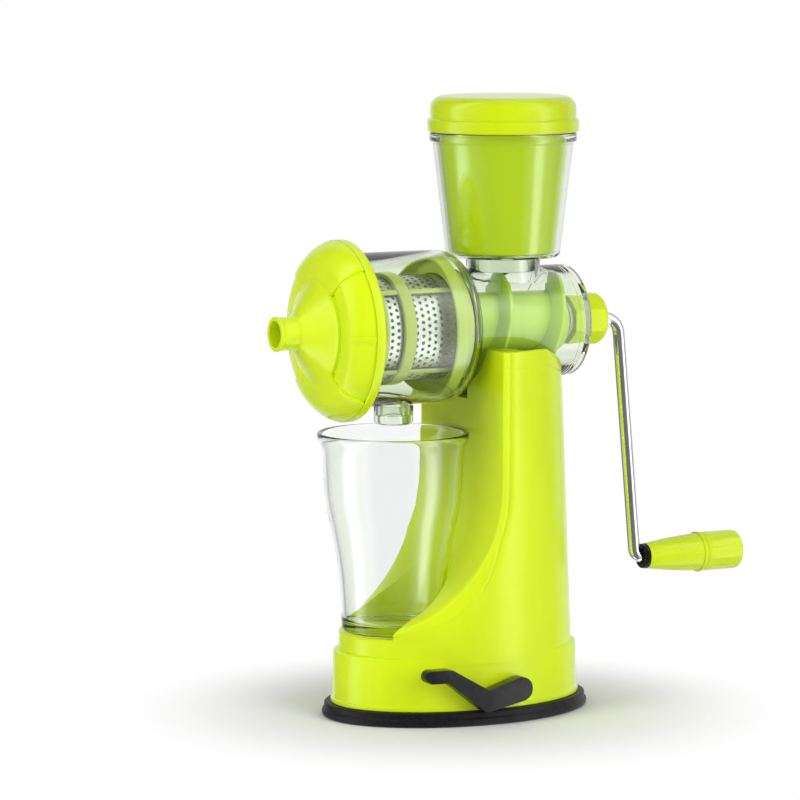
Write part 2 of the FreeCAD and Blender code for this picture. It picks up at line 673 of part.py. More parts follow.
def base_plate():
    """Closing plate with two bearing blocks for the lever's axle and sunk screw holes."""
    plate = body("plate_blank", keep=False)
    edge = ellipse(sketch(plate, "plate_outline", "XY_Plane", skirt_bottom),
                   S.skirt_half_length - S.stand_wall - S.running_gap,
                   S.skirt_half_width - S.stand_wall - S.running_gap)
    extruded(plate, "plate", edge, S.plate_thickness)
    block_top = S.lever_height + S.axle_radius * 2
    block_half = S.axle_radius * 2
    start = S.web_inner + S.web_thickness + S.running_gap
    for name, side, back in (("near_bearing", start, False), ("far_bearing", -start, True)):
        drawing = sketch(plate, name + "_profile", "XZ_Plane", side)
        outline(drawing, [
            (S.lever_x - block_half, skirt_bottom), (S.lever_x + block_half, skirt_bottom),
            (S.lever_x + block_half, block_top), (S.lever_x - block_half, block_top)])
        extruded(plate, name, drawing, S.axle_rear - start, back=back)
    axle = circle(sketch(plate, "bearing_profile", "XZ_Plane"),
                  S.lever_x, S.lever_height, S.axle_radius + S.shaft_gap)
    extruded(plate, "bearing_bore", axle, S.pad_half_width * 2, cut=True, both_ways=True)
    holes = sketch(plate, "plate_holes_profile", "XY_Plane", skirt_bottom)
    circle(holes, 0, 0, S.stem_radius + S.running_gap)
    for x, y in screw_places():
        circle(holes, x, y, S.screw_radius + S.press_gap)
    extruded(plate, "plate_holes", holes, S.plate_thickness * 2, cut=True, back=True)
    pieces.append(boolean("Part::Cut", "base_plate", plate, countersinks()))


def countersinks():
    """One cone for each screw head, to cut from the plate."""
    cones = []
    for i, (x, y) in enumerate(screw_places()):
        cone = doc.addObject("Part::Cone", f"countersink_{i}")
        cone.setExpression("Radius1", (S.screw_head_radius + S.press_gap).formula)
        cone.setExpression("Radius2", (S.screw_radius + S.press_gap).formula)
        cone.setExpression("Height", (S.screw_head_height + S.press_gap).formula)
        cone.setExpression("Placement.Base.x", x.formula)
        cone.setExpression("Placement.Base.y", y.formula)
        cone.setExpression("Placement.Base.z", skirt_bottom.formula)
        cones.append(cone)
    group = doc.addObject("Part::MultiFuse", "countersinks")
    group.Shapes = cones
    return group


def base_screws():
    """Four countersunk screws, as one node of separate solids."""
    screws = []
    for i, (x, y) in enumerate(screw_places()):
        shank = doc.addObject("Part::Cylinder", f"shank_{i}")
        shank.setExpression("Radius", S.screw_radius.formula)
        shank.setExpression("Height", S.screw_length.formula)
        head = doc.addObject("Part::Cone", f"head_{i}")
        head.setExpression("Radius1", S.screw_head_radius.formula)
        head.setExpression("Radius2", S.screw_radius.formula)
        head.setExpression("Height", S.screw_head_height.formula)
        for part in (shank, head):
            part.setExpression("Placement.Base.x", x.formula)
            part.setExpression("Placement.Base.y", y.formula)
            part.setExpression("Placement.Base.z", skirt_bottom.formula)
        screws.append(boolean("Part::Fuse", f"screw_{i}", shank, head))
    group = doc.addObject("Part::Compound", "base_screws")
    group.Label = "base_screws"
    group.Links = screws
    pieces.append(group)


def lever_axle():
    """Steel rod cranked once, so that turning it lifts the stem."""
    axle = body("lever_axle")
    for name, start, length, back in (
            ("axle_near", S.web_inner, axle_reach - S.web_inner, False),
            ("axle_far", -S.web_inner, S.axle_rear - S.web_inner, True)):
        rod = circle(sketch(axle, name + "_profile", "XZ_Plane", start),
                     S.lever_x, S.lever_height, S.axle_radius)
        extruded(axle, name, rod, length, back=back)
        web = outline(sketch(axle, name + "_web_profile", "XZ_Plane", start), [
            (S.lever_x, S.lever_height - S.axle_radius),
            (0, S.lever_height - S.axle_radius),
            (0, S.lever_height + S.axle_radius),
            (S.lever_x, S.lever_height + S.axle_radius)])
        extruded(axle, name + "_web", web, S.web_thickness, back=back)
        end = circle(sketch(axle, name + "_web_end_profile", "XZ_Plane", start),
                     0, S.lever_height, S.axle_radius)
        extruded(axle, name + "_web_end", end, S.web_thickness, back=back)
    pin = circle(sketch(axle, "crankpin_profile", "XZ_Plane"),
                 0, S.lever_height, S.crankpin_radius)
    extruded(axle, "crankpin", pin, S.web_inner * 2 + S.web_thickness, both_ways=True)


def link_corners(x1, z1, r1, x2, z2, r2):
    """Closed outline round two circles and the two tangents that join them."""
    dx, dz = x2 - x1, z2 - z1
    square = dx * dx + dz * dz
    lead = (r1 - r2) / square
    side = root(square - (r1 - r2) * (r1 - r2)) / square
    corners = []
    for turn in (1, -1):
        nx = dx * lead - dz * side * turn
        nz = dz * lead + dx * side * turn
        corners.append(((x1 + nx * r1, z1 + nz * r1), (x2 + nx * r2, z2 + nz * r2)))
    return corners


def vacuum_lever():
    """Hub with a paddle on one side and a thin hooked arm on the other."""
    lever = body("vacuum_lever", x=S.lever_x, z=S.lever_height)
    zero = S.lever_x * 0
    knee = (S.arm_knee_x, S.arm_knee_z, S.lever_arm_radius)
    tip = (S.arm_tip_x, S.arm_tip_z, S.lever_arm_radius * 0.98)
    hub = (zero, zero, S.lever_hub_radius)
    paddle = (S.paddle_x, S.paddle_z, S.paddle_radius)
    for name, x, z, radius in (("hub", *hub), ("paddle_end", *paddle),
                               ("arm_knee", *knee), ("arm_tip", *tip)):
        disc = circle(sketch(lever, name + "_profile", "XZ_Plane", lever_inner), x, z, radius)
        extruded(lever, name, disc, S.lever_thickness)
    for name, first, last in (("paddle", hub, paddle), ("arm", hub, knee), ("hook", knee, tip)):
        upper, lower = link_corners(*first, *last)
        web = sketch(lever, name + "_web_profile", "XZ_Plane", lever_inner)
        outline(web, [upper[0], upper[1], lower[1], lower[0]])
        extruded(lever, name + "_web", web, S.lever_thickness)
    bore = circle(sketch(lever, "lever_bore_profile", "XZ_Plane", lever_inner),
                  zero, zero, S.axle_radius + S.press_gap)
    extruded(lever, "lever_bore", bore, axle_reach - lever_inner + S.press_gap,
             cut=True, back=True)


# ---------------------------------------------------------------- chamber and strainer

def juice_chamber():
    """Clear drum with a rounded shoulder, feed tube, hopper collar, spout nipple and foot."""
    wall = S.chamber_wall
    tube_front = S.drum_rear + shoulder
    chamber = body("juice_chamber", z=S.axis_height)
    rim_line = S.tube_rear - S.rim_width
    turned(chamber, "drum_and_tube", [
        (S.drum_front, 0), (S.drum_front, S.drum_radius), (S.drum_rear, S.drum_radius),
        (tube_front, S.tube_radius, -shoulder), (rim_line - S.rim_groove, S.tube_radius),
        (rim_line - S.rim_groove, S.tube_radius - S.rim_groove),
        (rim_line, S.tube_radius - S.rim_groove), (rim_line, S.tube_radius),
        (S.tube_rear, S.tube_radius), (S.tube_rear, 0)])
    collar = circle(sketch(chamber, "collar_profile", "XY_Plane"),
                    S.hopper_x, 0, S.collar_radius)
    extruded(chamber, "collar", collar, S.collar_height)
    nipple = circle(sketch(chamber, "nipple_profile", "XY_Plane"), S.spout_x, 0, S.nipple_radius)
    extruded(chamber, "nipple", nipple, S.drum_radius + S.nipple_length, back=True)
    foot = sketch(chamber, "foot_profile", "YZ_Plane", S.foot_front)
    outline(foot, dovetail(foot, S.press_gap * 0))
    extruded(chamber, "foot", foot, S.foot_rear - S.foot_front)
    inner_wall = S.tube_rear - S.rear_wall
    turned(chamber, "inside", [
        (S.drum_front, 0), (S.drum_front, drum_bore), (S.drum_rear, drum_bore),
        (tube_front - wall, S.tube_radius, wall - shoulder),
        (tube_front - wall, tube_bore), (inner_wall, tube_bore), (inner_wall, S.hub_radius),
        (S.hub_front, S.hub_radius), (S.hub_front, S.bush_radius + S.press_gap),
        (S.tube_rear, S.bush_radius + S.press_gap), (S.tube_rear, 0)], cut=True)
    throat = circle(sketch(chamber, "throat_profile", "XY_Plane"),
                    S.hopper_x, 0, S.throat_radius)
    extruded(chamber, "throat", throat, S.collar_height * 1.1, cut=True, back=True)
    drain = circle(sketch(chamber, "drain_profile", "XY_Plane"), S.spout_x, 0, S.nipple_bore)
    extruded(chamber, "drain", drain, S.drum_radius + S.nipple_length * 2, cut=True)


def juice_spout():
    """Clear sleeve pushed onto the drum's nipple."""
    spout = body("juice_spout", x=S.spout_x, z=drum_bottom - S.spout_drop)
    seat = S.nipple_radius + S.press_gap
    shelf = S.spout_drop - S.nipple_length - S.running_gap
    top = S.spout_drop - S.running_gap
    turned(spout, "sleeve", [
        (S.spout_bore, 0), (S.spout_radius - S.spout_edge, 0),
        (S.spout_radius, S.spout_edge, S.spout_edge), (S.spout_radius, top), (seat, top),
        (seat, shelf), (S.spout_bore, shelf)], axis="V_Axis")


def rear_bush():
    bush = body("rear_bush", z=S.axis_height)
    bore = S.shaft_radius + S.shaft_gap
    turned(bush, "bush", [
        (S.hub_front, bore), (S.hub_front, S.bush_radius), (S.tube_rear, S.bush_radius),
        (S.tube_rear, S.bush_flange_radius),
        (S.tube_rear + S.bush_flange, S.bush_flange_radius), (S.tube_rear + S.bush_flange, bore)])


def shaft_seal():
    seal = body("shaft_seal", z=S.axis_height)
    front = S.hub_front - S.shaft_seal_thickness
    bore = S.shaft_radius + S.shaft_gap
    turned(seal, "washer", [
        (front, bore), (front, S.shaft_seal_radius),
        (S.hub_front, S.shaft_seal_radius), (S.hub_front, bore)])


def strainer_frame():
    """Moulded frame round the perforated sleeve: front collar, rings, ribs and rear flange."""
    inner = mesh_radius + S.mesh_gap
    outer = mesh_radius + S.rib_height
    front_flange = S.drum_front + S.running_gap
    flange_radius = drum_bore - S.running_gap
    seat = S.drum_rear + shoulder - S.chamber_wall - S.running_gap
    lip = mesh_radius - S.mesh_thickness
    ring_radius = drum_bore - S.running_gap * 2
    flange_rear = S.drum_rear - S.running_gap
    frame = body("strainer_frame", z=S.axis_height)
    turned(frame, "front_collar", [
        (front_flange, lip), (front_flange, flange_radius),
        (front_flange + S.flange_thickness, flange_radius),
        (front_flange + S.flange_thickness, outer),
        (S.mesh_front + S.rib_height, outer), (S.mesh_front + S.rib_height, inner),
        (S.mesh_front - S.press_gap, inner), (S.mesh_front - S.press_gap, lip)])
    turned(frame, "rear_collar", [
        (S.mesh_rear - S.rib_height, inner), (S.mesh_rear - S.rib_height, outer),
        (seat, outer), (seat, lip), (S.mesh_rear + S.press_gap, lip),
        (S.mesh_rear + S.press_gap, inner)])
    rib = outline(sketch(frame, "rib_profile", "XY_Plane"), [
        (S.mesh_front, -S.rib_width / 2), (S.mesh_rear, -S.rib_width / 2),
        (S.mesh_rear, S.rib_width / 2), (S.mesh_front, S.rib_width / 2)])
    ribs = extruded(frame, "rib", rib, outer)
    around(frame, "ribs", [ribs], S.rib_count)
    turned(frame, "bore_clear", [
        (front_flange - S.press_gap, 0), (front_flange - S.press_gap, lip),
        (S.mesh_front - S.press_gap, lip), (S.mesh_front - S.press_gap, inner),
        (S.mesh_rear + S.press_gap, inner), (S.mesh_rear + S.press_gap, lip),
        (seat + S.press_gap, lip), (seat + S.press_gap, 0)], cut=True)
    broad = outer + S.front_ring_height
    turned(frame, "broad_ring", [
        (S.front_ring, inner), (S.front_ring, broad),
        (S.front_ring + S.front_ring_width, broad), (S.front_ring + S.front_ring_width, inner)])
    turned(frame, "mid_ring", [
        (S.mid_ring - S.mid_ring_width / 2, inner), (S.mid_ring - S.mid_ring_width / 2, outer),
        (S.mid_ring + S.mid_ring_width / 2, outer), (S.mid_ring + S.mid_ring_width / 2, inner)])
    turned(frame, "rear_flange", [
        (flange_rear - S.flange_thickness, inner),
        (flange_rear - S.flange_thickness, ring_radius - S.flange_thickness),
        (S.edge_ring, ring_radius - S.flange_thickness), (S.edge_ring, ring_radius),
        (flange_rear, ring_radius), (flange_rear, inner)])
    frame.setExpression("Placement.Rotation.Angle", "180 / Sizes.rib_count")
    frame.Placement.Rotation.Axis = FreeCAD.Vector(1, 0, 0)


def strainer_mesh():
    """Sleeve of thin perforated steel sheet; its fine holes are left to the surface finish."""
    mesh = body("strainer_mesh", z=S.axis_height)
    turned(mesh, "sleeve_sheet", [
        (S.mesh_front, mesh_radius - S.mesh_thickness), (S.mesh_front, mesh_radius),
        (S.mesh_rear, mesh_radius), (S.mesh_rear, mesh_radius - S.mesh_thickness)])


# ---------------------------------------------------------------- cover

def band_skin(height):
    """Section of a raised skin on the cover's rounded band, sunk as deep as it stands out."""
    front = S.band_front_x
    return [(S.cover_rim_front, S.band_radius - height),
            (front + height, S.band_front_radius, S.band_bulge - height),
            (front - height * 0.4, S.band_front_radius + height * 0.4),
            (S.cover_rim_front, S.band_radius + height, -S.band_bulge)]


def lobe_skin():
    """Section of a lobe: the band's raised skin, carried on to the edge of the cone."""
    inner = S.face_x + S.face_step + S.cover_wall / 2
    rim, inside, outside, top = band_skin(S.lobe_height)
    return [rim, inside, (inner, S.face_radius), (S.face_x, S.face_radius), outside, top]


def front_cover():
    """Screw cover: rim, rounded band with two lobes, stepped cone and pulp nozzle."""
    bore = S.drum_radius + S.cover_gap
    floor = seal_front - S.running_gap
    wall = S.cover_wall
    step = S.face_step
    cover = body("front_cover", z=S.axis_height)
    turned(cover, "cover_form", [
        (S.cover_rear, bore), (floor, bore), (floor, drum_bore - S.seal_width / 2),
        (S.band_front_x + wall, S.band_front_radius - wall),
        (S.face_x + step + wall, S.face_radius),
        (S.face_x + wall, S.face_radius - wall),
        (S.nozzle_root + wall / 2, S.nozzle_bore), (S.nozzle_tip, S.nozzle_bore),
        (S.nozzle_tip, S.nozzle_radius + S.nozzle_lip),
        (S.nozzle_tip + S.nozzle_lip_width, S.nozzle_radius + S.nozzle_lip),
        (S.nozzle_tip + S.nozzle_lip_width * 1.4, S.nozzle_radius),
        (S.nozzle_root, S.nozzle_radius), (S.face_x, S.face_radius - step),
        (S.face_x + step, S.face_radius - step), (S.face_x + step, S.face_radius),
        (S.face_x, S.face_radius), (S.band_front_x, S.band_front_radius),
        (S.cover_rim_front, S.band_radius, -S.band_bulge),
        (S.cover_rim_front, S.cover_rim_radius), (S.cover_rear, S.cover_rim_radius)])
    lobe = part_turned(cover, "lobe", lobe_skin(), S.lobe_angle)
    around(cover, "lobes", [lobe], S.lobe_count)
    rib = part_turned(cover, "grip_rib", band_skin(S.grip_rib_height), S.grip_rib_angle,
                      plane="XY_Plane")
    around(cover, "grip_ribs", [rib], S.lobe_count)


def cover_seal():
    seal = body("cover_seal", z=S.axis_height)
    inner = drum_bore - S.seal_width / 2 + S.press_gap
    outer = S.drum_radius
    turned(seal, "seal_ring", [
        (seal_front, inner), (seal_front, outer), (seal_front + S.seal_thickness, outer),
        (seal_front + S.seal_thickness, inner)])


# ---------------------------------------------------------------- auger and crank

def auger():
    """Core that widens to the front, round nose and one left-handed flight."""
    screw = body("auger", z=S.axis_height)
    turned(screw, "core", [
        (S.nose_front, 0), (S.nose_front, S.nose_radius),
        (S.core_front, S.core_front_radius, -(S.core_front - S.nose_front) * 1.3),
        (S.core_taper_start, S.core_radius), (core_rear, S.core_radius), (core_rear, 0)])
    root_radius = S.core_radius - S.flight_sink
    half_root, half_tip = S.flight_root / 2, S.flight_tip / 2
    flight_section = outline(sketch(screw, "flight_profile", "XZ_Plane"), [
        (S.flight_start - half_root, root_radius), (S.flight_start - half_tip, flight_radius),
        (S.flight_start + half_tip, flight_radius), (S.flight_start + half_root, root_radius)])
    flight = screw.newObject("PartDesign::AdditiveHelix", "flight")
    flight.Profile = flight_section
    flight.ReferenceAxis = (flight_section, ["H_Axis"])
    flight.Mode = 0
    flight.setExpression("Pitch", S.flight_pitch.formula)
    flight.setExpression("Height", (core_rear - S.flight_start - S.flight_root / 2).formula)
    flight.LeftHanded = True
    flight.Reversed = False
    bore = circle(sketch(screw, "shaft_bore_profile", "YZ_Plane", core_rear),
                  0, 0, S.shaft_radius + S.press_gap)
    extruded(screw, "shaft_bore", bore, core_rear - S.shaft_front + S.press_gap, cut=True)
    screw.Placement.Rotation.Axis = FreeCAD.Vector(1, 0, 0)
    screw.setExpression("Placement.Rotation.Angle", S.flight_turn.formula)


def drive_shaft():
    shaft = body("drive_shaft", z=S.axis_height)
    turned(shaft, "round_part", [
        (S.shaft_front, 0), (S.shaft_front, S.shaft_radius),
        (knob_start, S.shaft_radius), (knob_start, 0)])
    half = S.shaft_square / 2
    square = outline(sketch(shaft, "square_profile", "YZ_Plane", knob_start),
                     [(-half, -half), (half, -half), (half, half), (-half, half)])
    extruded(shaft, "square_end", square, S.shaft_rear - knob_start)


def drive_knob():
    """Knob that joins the shaft to the crank rod, with flats for the fingers."""
    knob = body("drive_knob", z=S.axis_height)
    turned(knob, "knob_form", [
        (knob_start, 0), (knob_start, S.knob_radius), (knob_end - S.knob_round, S.knob_radius),
        (knob_end, S.knob_end_radius, -S.knob_round * 1.15), (knob_end, 0)])
    side = S.knob_radius
    flat = outline(sketch(knob, "flat_profile", "YZ_Plane", knob_end), [
        (-side, S.knob_flat), (side, S.knob_flat),
        (side, S.knob_radius * 1.2), (-side, S.knob_radius * 1.2)])
    flats = extruded(knob, "flat", flat, S.knob_length, cut=True)
    around(knob, "flats", [flats], S.knob_flats)
    half = S.shaft_square / 2 + S.press_gap
    socket = outline(sketch(knob, "socket_profile", "YZ_Plane", knob_start),
                     [(-half, -half), (half, -half), (half, half), (-half, half)])
    extruded(knob, "socket", socket, S.shaft_rear - knob_start + S.press_gap, cut=True, back=True)
    rod = circle(sketch(knob, "rod_hole_profile", "YZ_Plane", knob_end),
                 0, 0, S.rod_radius + S.press_gap)
    extruded(knob, "rod_hole", rod, knob_end - S.rod_start + S.press_gap, cut=True)


def crank_rod():
    """Round steel rod, bent out of the knob, down to the grip and out again as its pin."""
    rod = body("crank_rod", z=S.axis_height)
    lean = S.rod_bottom_x - S.rod_top_x
    length = root(lean * lean + S.crank_radius * S.crank_radius)
    along_x, along_z = lean / length, -S.crank_radius / length
    # distance from a corner to where its bend starts: the bend's radius times the tangent
    # of half the turn, which is (1 - cosine) / sine of the turn
    reach = (-along_x + 1) / (-along_z)
    top, bottom = S.top_bend * reach, S.bottom_bend * reach
    path = outline(sketch(rod, "rod_path", "XZ_Plane"), [
        (S.rod_start, 0), (S.rod_top_x - top, 0),
        (S.rod_top_x + along_x * top, along_z * top, -S.top_bend),
        (S.rod_bottom_x - along_x * bottom, -S.crank_radius - along_z * bottom),
        (S.rod_bottom_x + bottom, -S.crank_radius, S.bottom_bend),
        (S.pin_end, -S.crank_radius)], closed=False)
    section = circle(sketch(rod, "rod_section", "YZ_Plane", S.rod_start), 0, 0, S.rod_radius)
    bar = rod.newObject("PartDesign::AdditivePipe", "rod_sweep")
    bar.Profile = section
    bar.Spine = (path, [f"Edge{i}" for i in range(1, 6)])


def grip_retainer():
    ring = body("grip_retainer", z=S.axis_height - S.crank_radius)
    start = S.grip_ring_x - S.grip_pocket_depth + S.running_gap
    bore = S.rod_radius + S.press_gap
    turned(ring, "push_ring", [
        (start, bore), (start, S.retainer_radius),
        (start + S.retainer_thickness, S.retainer_radius),
        (start + S.retainer_thickness, bore)])


def grip_bush():
    """Black bush that closes the inner end of the grip round the rod."""
    bush = body("grip_bush", z=S.axis_height - S.crank_radius)
    bore = S.rod_radius + S.shaft_gap
    end = S.grip_start + S.grip_bush_length
    spigot = S.grip_start_radius - S.grip_bush_length / 2
    turned(bush, "grip_bush_form", [
        (S.grip_start + S.grip_bush_length / 2, bore),
        (S.grip_start, S.rod_radius + S.grip_bush_length / 2),
        (S.grip_start, S.grip_start_radius - S.running_gap), (end, S.grip_start_radius),
        (end, spigot), (end + S.grip_bush_length, spigot), (end + S.grip_bush_length, bore)])


def grip_sleeve():
    """Tapered sleeve that turns on the rod, with a ring where the cap meets it."""
    sleeve = body("grip_sleeve", z=S.axis_height - S.crank_radius)
    start = S.grip_start + S.grip_bush_length
    bore = S.rod_radius + S.shaft_gap
    seat = S.grip_start_radius - S.grip_bush_length / 2 + S.press_gap
    seat_end = start + S.grip_bush_length + S.press_gap
    ring_start = S.grip_ring_x - S.grip_ring_width
    pocket = S.grip_ring_x - S.grip_pocket_depth
    turned(sleeve, "sleeve_form", [
        (seat_end, bore), (seat_end, seat), (start, seat), (start, S.grip_start_radius),
        (ring_start, S.grip_end_radius), (ring_start, S.grip_ring_radius),
        (S.grip_ring_x, S.grip_ring_radius), (S.grip_ring_x, S.grip_pocket_radius),
        (pocket, S.grip_pocket_radius), (pocket, bore)])


def grip_cap():
    """Fluted end cap; its spigot closes the pocket over the retainer."""
    cap = body("grip_cap", z=S.axis_height - S.crank_radius)
    spigot = S.grip_pocket_radius - S.press_gap
    hollow = S.cap_hollow_radius
    back = S.pin_end + S.running_gap * 3
    lead = S.grip_ring_x - S.grip_pocket_depth + S.running_gap * 2 + S.retainer_thickness
    turned(cap, "cap_form", [
        (lead, hollow), (lead, spigot), (S.grip_ring_x, spigot),
        (S.grip_ring_x, S.cap_radius), (S.cap_end - S.cap_round, S.cap_radius),
        (S.cap_end, S.cap_radius - S.cap_round, -S.cap_round), (S.cap_end, 0),
        (back, 0), (back, hollow)])
    side = S.cap_radius
    flat = outline(sketch(cap, "cap_flat_profile", "YZ_Plane", S.cap_end), [
        (-side, S.cap_flat), (side, S.cap_flat),
        (side, S.cap_radius * 1.2), (-side, S.cap_radius * 1.2)])
    start = S.grip_ring_x + S.cap_round
    flats = extruded(cap, "cap_flat_cut", flat, S.cap_end - start, cut=True)
    around(cap, "cap_flats_cut", [flats], S.cap_flats)


# ---------------------------------------------------------------- hopper, pusher and glass

def hopper():
    """Clear tapered cup with a rim, a floor and a spigot that drops into the collar."""
    cup = body("hopper", x=S.hopper_x, z=hopper_bottom)
    spigot = S.throat_radius - S.press_gap * 2
    rim_low = S.hopper_height - S.hopper_rim_height
    inner_foot = S.hopper_foot_radius - S.hopper_wall
    inner_top = S.hopper_top_radius - S.hopper_wall
    bore = spigot - S.spigot_wall
    turned(cup, "cup_form", [
        (bore, -S.spigot_length), (spigot, -S.spigot_length), (spigot, 0),
        (S.hopper_foot_radius, 0), (S.hopper_top_radius, rim_low),
        (S.hopper_rim_radius, rim_low + (S.hopper_rim_radius - S.hopper_top_radius) / 2),
        (S.hopper_rim_radius, S.hopper_height), (inner_top, S.hopper_height),
        (inner_foot, S.hopper_floor), (bore, S.hopper_floor)], axis="V_Axis")


def pusher_body():
    """Hollow tapered plunger, closed at its bottom and open under its cap."""
    plunger = body("pusher_body", x=S.hopper_x, z=hopper_bottom + S.hopper_floor + S.running_gap)
    height = S.hopper_height - S.hopper_floor - S.running_gap
    wall = S.pusher_wall
    edge = S.pusher_edge
    turned(plunger, "plunger_form", [
        (0, 0), (pusher_foot_radius - edge, 0), (pusher_foot_radius, edge, edge),
        (pusher_top_radius, height), (pusher_top_radius - wall, height),
        (pusher_foot_radius - wall, wall * 1.5), (0, wall * 1.5)], axis="V_Axis")


def pusher_cap():
    """Cap with a broad rim, a groove and a rounded crown; a ring plugs into the plunger."""
    cap = body("pusher_cap", x=S.hopper_x, z=hopper_bottom + S.hopper_height + S.running_gap)
    wall = S.cap_wall
    plug = pusher_top_radius - S.pusher_wall - S.running_gap
    lean = (pusher_top_radius - pusher_foot_radius) * S.cap_plug_depth / S.hopper_height
    groove = S.crown_groove
    rim_top = S.cap_rim_height
    shoulder_low = S.crown_height - S.crown_shoulder
    turned(cap, "cap_crown", [
        (plug, 0), (S.cap_rim_radius - groove, 0), (S.cap_rim_radius, groove),
        (S.cap_rim_radius, rim_top - groove), (S.cap_rim_radius - groove, rim_top),
        (S.crown_radius - groove, rim_top), (S.crown_radius, rim_top + groove),
        (S.crown_radius, shoulder_low),
        (S.crown_radius - S.crown_shoulder, S.crown_height, S.crown_shoulder),
        (0, S.crown_height + S.crown_rise), (0, S.crown_height - wall),
        (S.crown_radius - S.crown_shoulder, S.crown_height - wall),
        (S.crown_radius - wall, shoulder_low, wall - S.crown_shoulder),
        (S.crown_radius - wall, wall), (plug - wall, wall),
        (plug - wall, -S.cap_plug_depth), (plug - lean, -S.cap_plug_depth)],
        axis="V_Axis")


def glass_tumbler():
    """Tumbler with a straight foot, an S-shaped flare and a beaded rim."""
    glass = body("glass_tumbler", x=S.glass_x, z=glass_bottom)
    wall = S.glass_wall
    bead = S.glass_rim_bead
    edge = S.glass_wall
    turned(glass, "tumbler_form", [
        (0, 0), (S.glass_foot_radius - edge, 0), (S.glass_foot_radius, edge, edge),
        (S.glass_foot_radius, glass_foot_height),
        (S.glass_mid_radius, glass_mid_height, -S.glass_flare_low),
        (S.glass_hip_radius, glass_hip_height, S.glass_flare_high),
        (S.glass_neck_radius, glass_neck_height),
        (S.glass_rim_radius, glass_height - bead), (S.glass_rim_radius, glass_height),
        (S.glass_rim_radius - wall, glass_height),
        (S.glass_neck_radius - wall, glass_neck_height),
        (S.glass_hip_radius - wall, glass_hip_height),
        (S.glass_mid_radius - wall, glass_mid_height, -(S.glass_flare_high - wall)),
        (S.glass_foot_radius - wall, glass_foot_height, S.glass_flare_low + wall),
        (S.glass_foot_radius - wall, S.glass_base + wall),
        (S.glass_foot_radius - wall * 2, S.glass_base, -wall), (0, S.glass_base)],
        axis="V_Axis")


# ---------------------------------------------------------------- build, check and write

def check(thing):
    if "Invalid" in thing.State or "Error" in thing.State:
        raise RuntimeError(f"{thing.Label} did not build: {thing.State} {thing.getStatusString()}")


stand_shell()
suction_pad()
pad_stem()
base_plate()
lever_axle()
vacuum_lever()
base_screws()
juice_chamber()
juice_spout()
rear_bush()
shaft_seal()
strainer_frame()
strainer_mesh()
front_cover()
cover_seal()
auger()
drive_shaft()
drive_knob()
crank_rod()
grip_retainer()
grip_bush()
grip_sleeve()
grip_cap()
hopper()
pusher_body()
pusher_cap()
glass_tumbler()
doc.recompute()
for thing in doc.Objects:
    check(thing)
for piece in pieces:
    if piece.Shape.isNull() or not piece.Shape.isValid():
        raise RuntimeError(f"{piece.Label} has no valid shape")
os.makedirs("parts", exist_ok=True)
for piece in pieces:
    piece.Shape.exportStep(f"parts/{piece.Label}.step")
    solids = len(piece.Shape.Solids)
    print(f"{piece.Label:16s} {solids} solid(s) {piece.Shape.Volume / 1000:9.3f} cm3")
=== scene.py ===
"""Hand-cranked juicer: dresses the frame of the juicer piece by piece and sets its stage.

Everything is in metres. The auger turns about the line y = 0, z = 0.214, the crank is on +X,
the pulp nozzle on -X and the vacuum lever on the -Y side.
"""
from math import acos, asin, atan2, cos, hypot, pi, radians, sin, sqrt, tan

import bmesh
import bpy
from bpy.props import FloatProperty, FloatVectorProperty, IntProperty, PointerProperty
from bpy.types import NodeSocket, Operator, Panel, PropertyGroup
from mathutils import Matrix, Vector


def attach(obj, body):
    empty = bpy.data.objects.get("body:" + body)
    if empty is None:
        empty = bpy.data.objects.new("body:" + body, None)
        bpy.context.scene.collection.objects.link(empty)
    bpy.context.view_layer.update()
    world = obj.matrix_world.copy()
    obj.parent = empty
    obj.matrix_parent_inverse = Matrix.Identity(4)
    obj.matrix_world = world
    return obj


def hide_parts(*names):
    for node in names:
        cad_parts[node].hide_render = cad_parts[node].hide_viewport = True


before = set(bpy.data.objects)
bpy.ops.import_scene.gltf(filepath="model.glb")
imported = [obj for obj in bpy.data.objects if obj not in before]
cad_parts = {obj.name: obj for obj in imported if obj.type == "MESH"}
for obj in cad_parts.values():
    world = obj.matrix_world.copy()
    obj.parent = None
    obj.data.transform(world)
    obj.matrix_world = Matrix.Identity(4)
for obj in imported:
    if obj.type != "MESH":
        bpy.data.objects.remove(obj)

bl_info = {
    "name": "Hand-cranked juicer",
    "version": (1, 0, 0),
    "blender": (4, 5, 0),
    "location": "View3D > Sidebar > Juicer",
    "description": "Dresses the frame of a hand-cranked juicer piece by piece",
    "category": "Object",
}

AXIS = Vector((0.0, 0.0, 0.214))
FULL_TURN = 2 * pi
GLASS_X, SPOUT_X, HOPPER_X = -0.0386, -0.0384, 0.0296
LEVER_X, LEVER_Z = -0.01, 0.014


# ---- settings

def amount(name, description, default, **more):
    """A number that isn't below zero."""
    return FloatProperty(name=name, description=description, default=default, min=0.0, **more)


def size(name, description, default):
    """A length in metres."""
    return amount(name, description, default, unit="LENGTH", precision=4)


def colour(name, description, default):
    """A colour as red, green and blue."""
    return FloatVectorProperty(name=name, description=description, default=default, size=3,
                               min=0.0, max=1.0, subtype="COLOR")


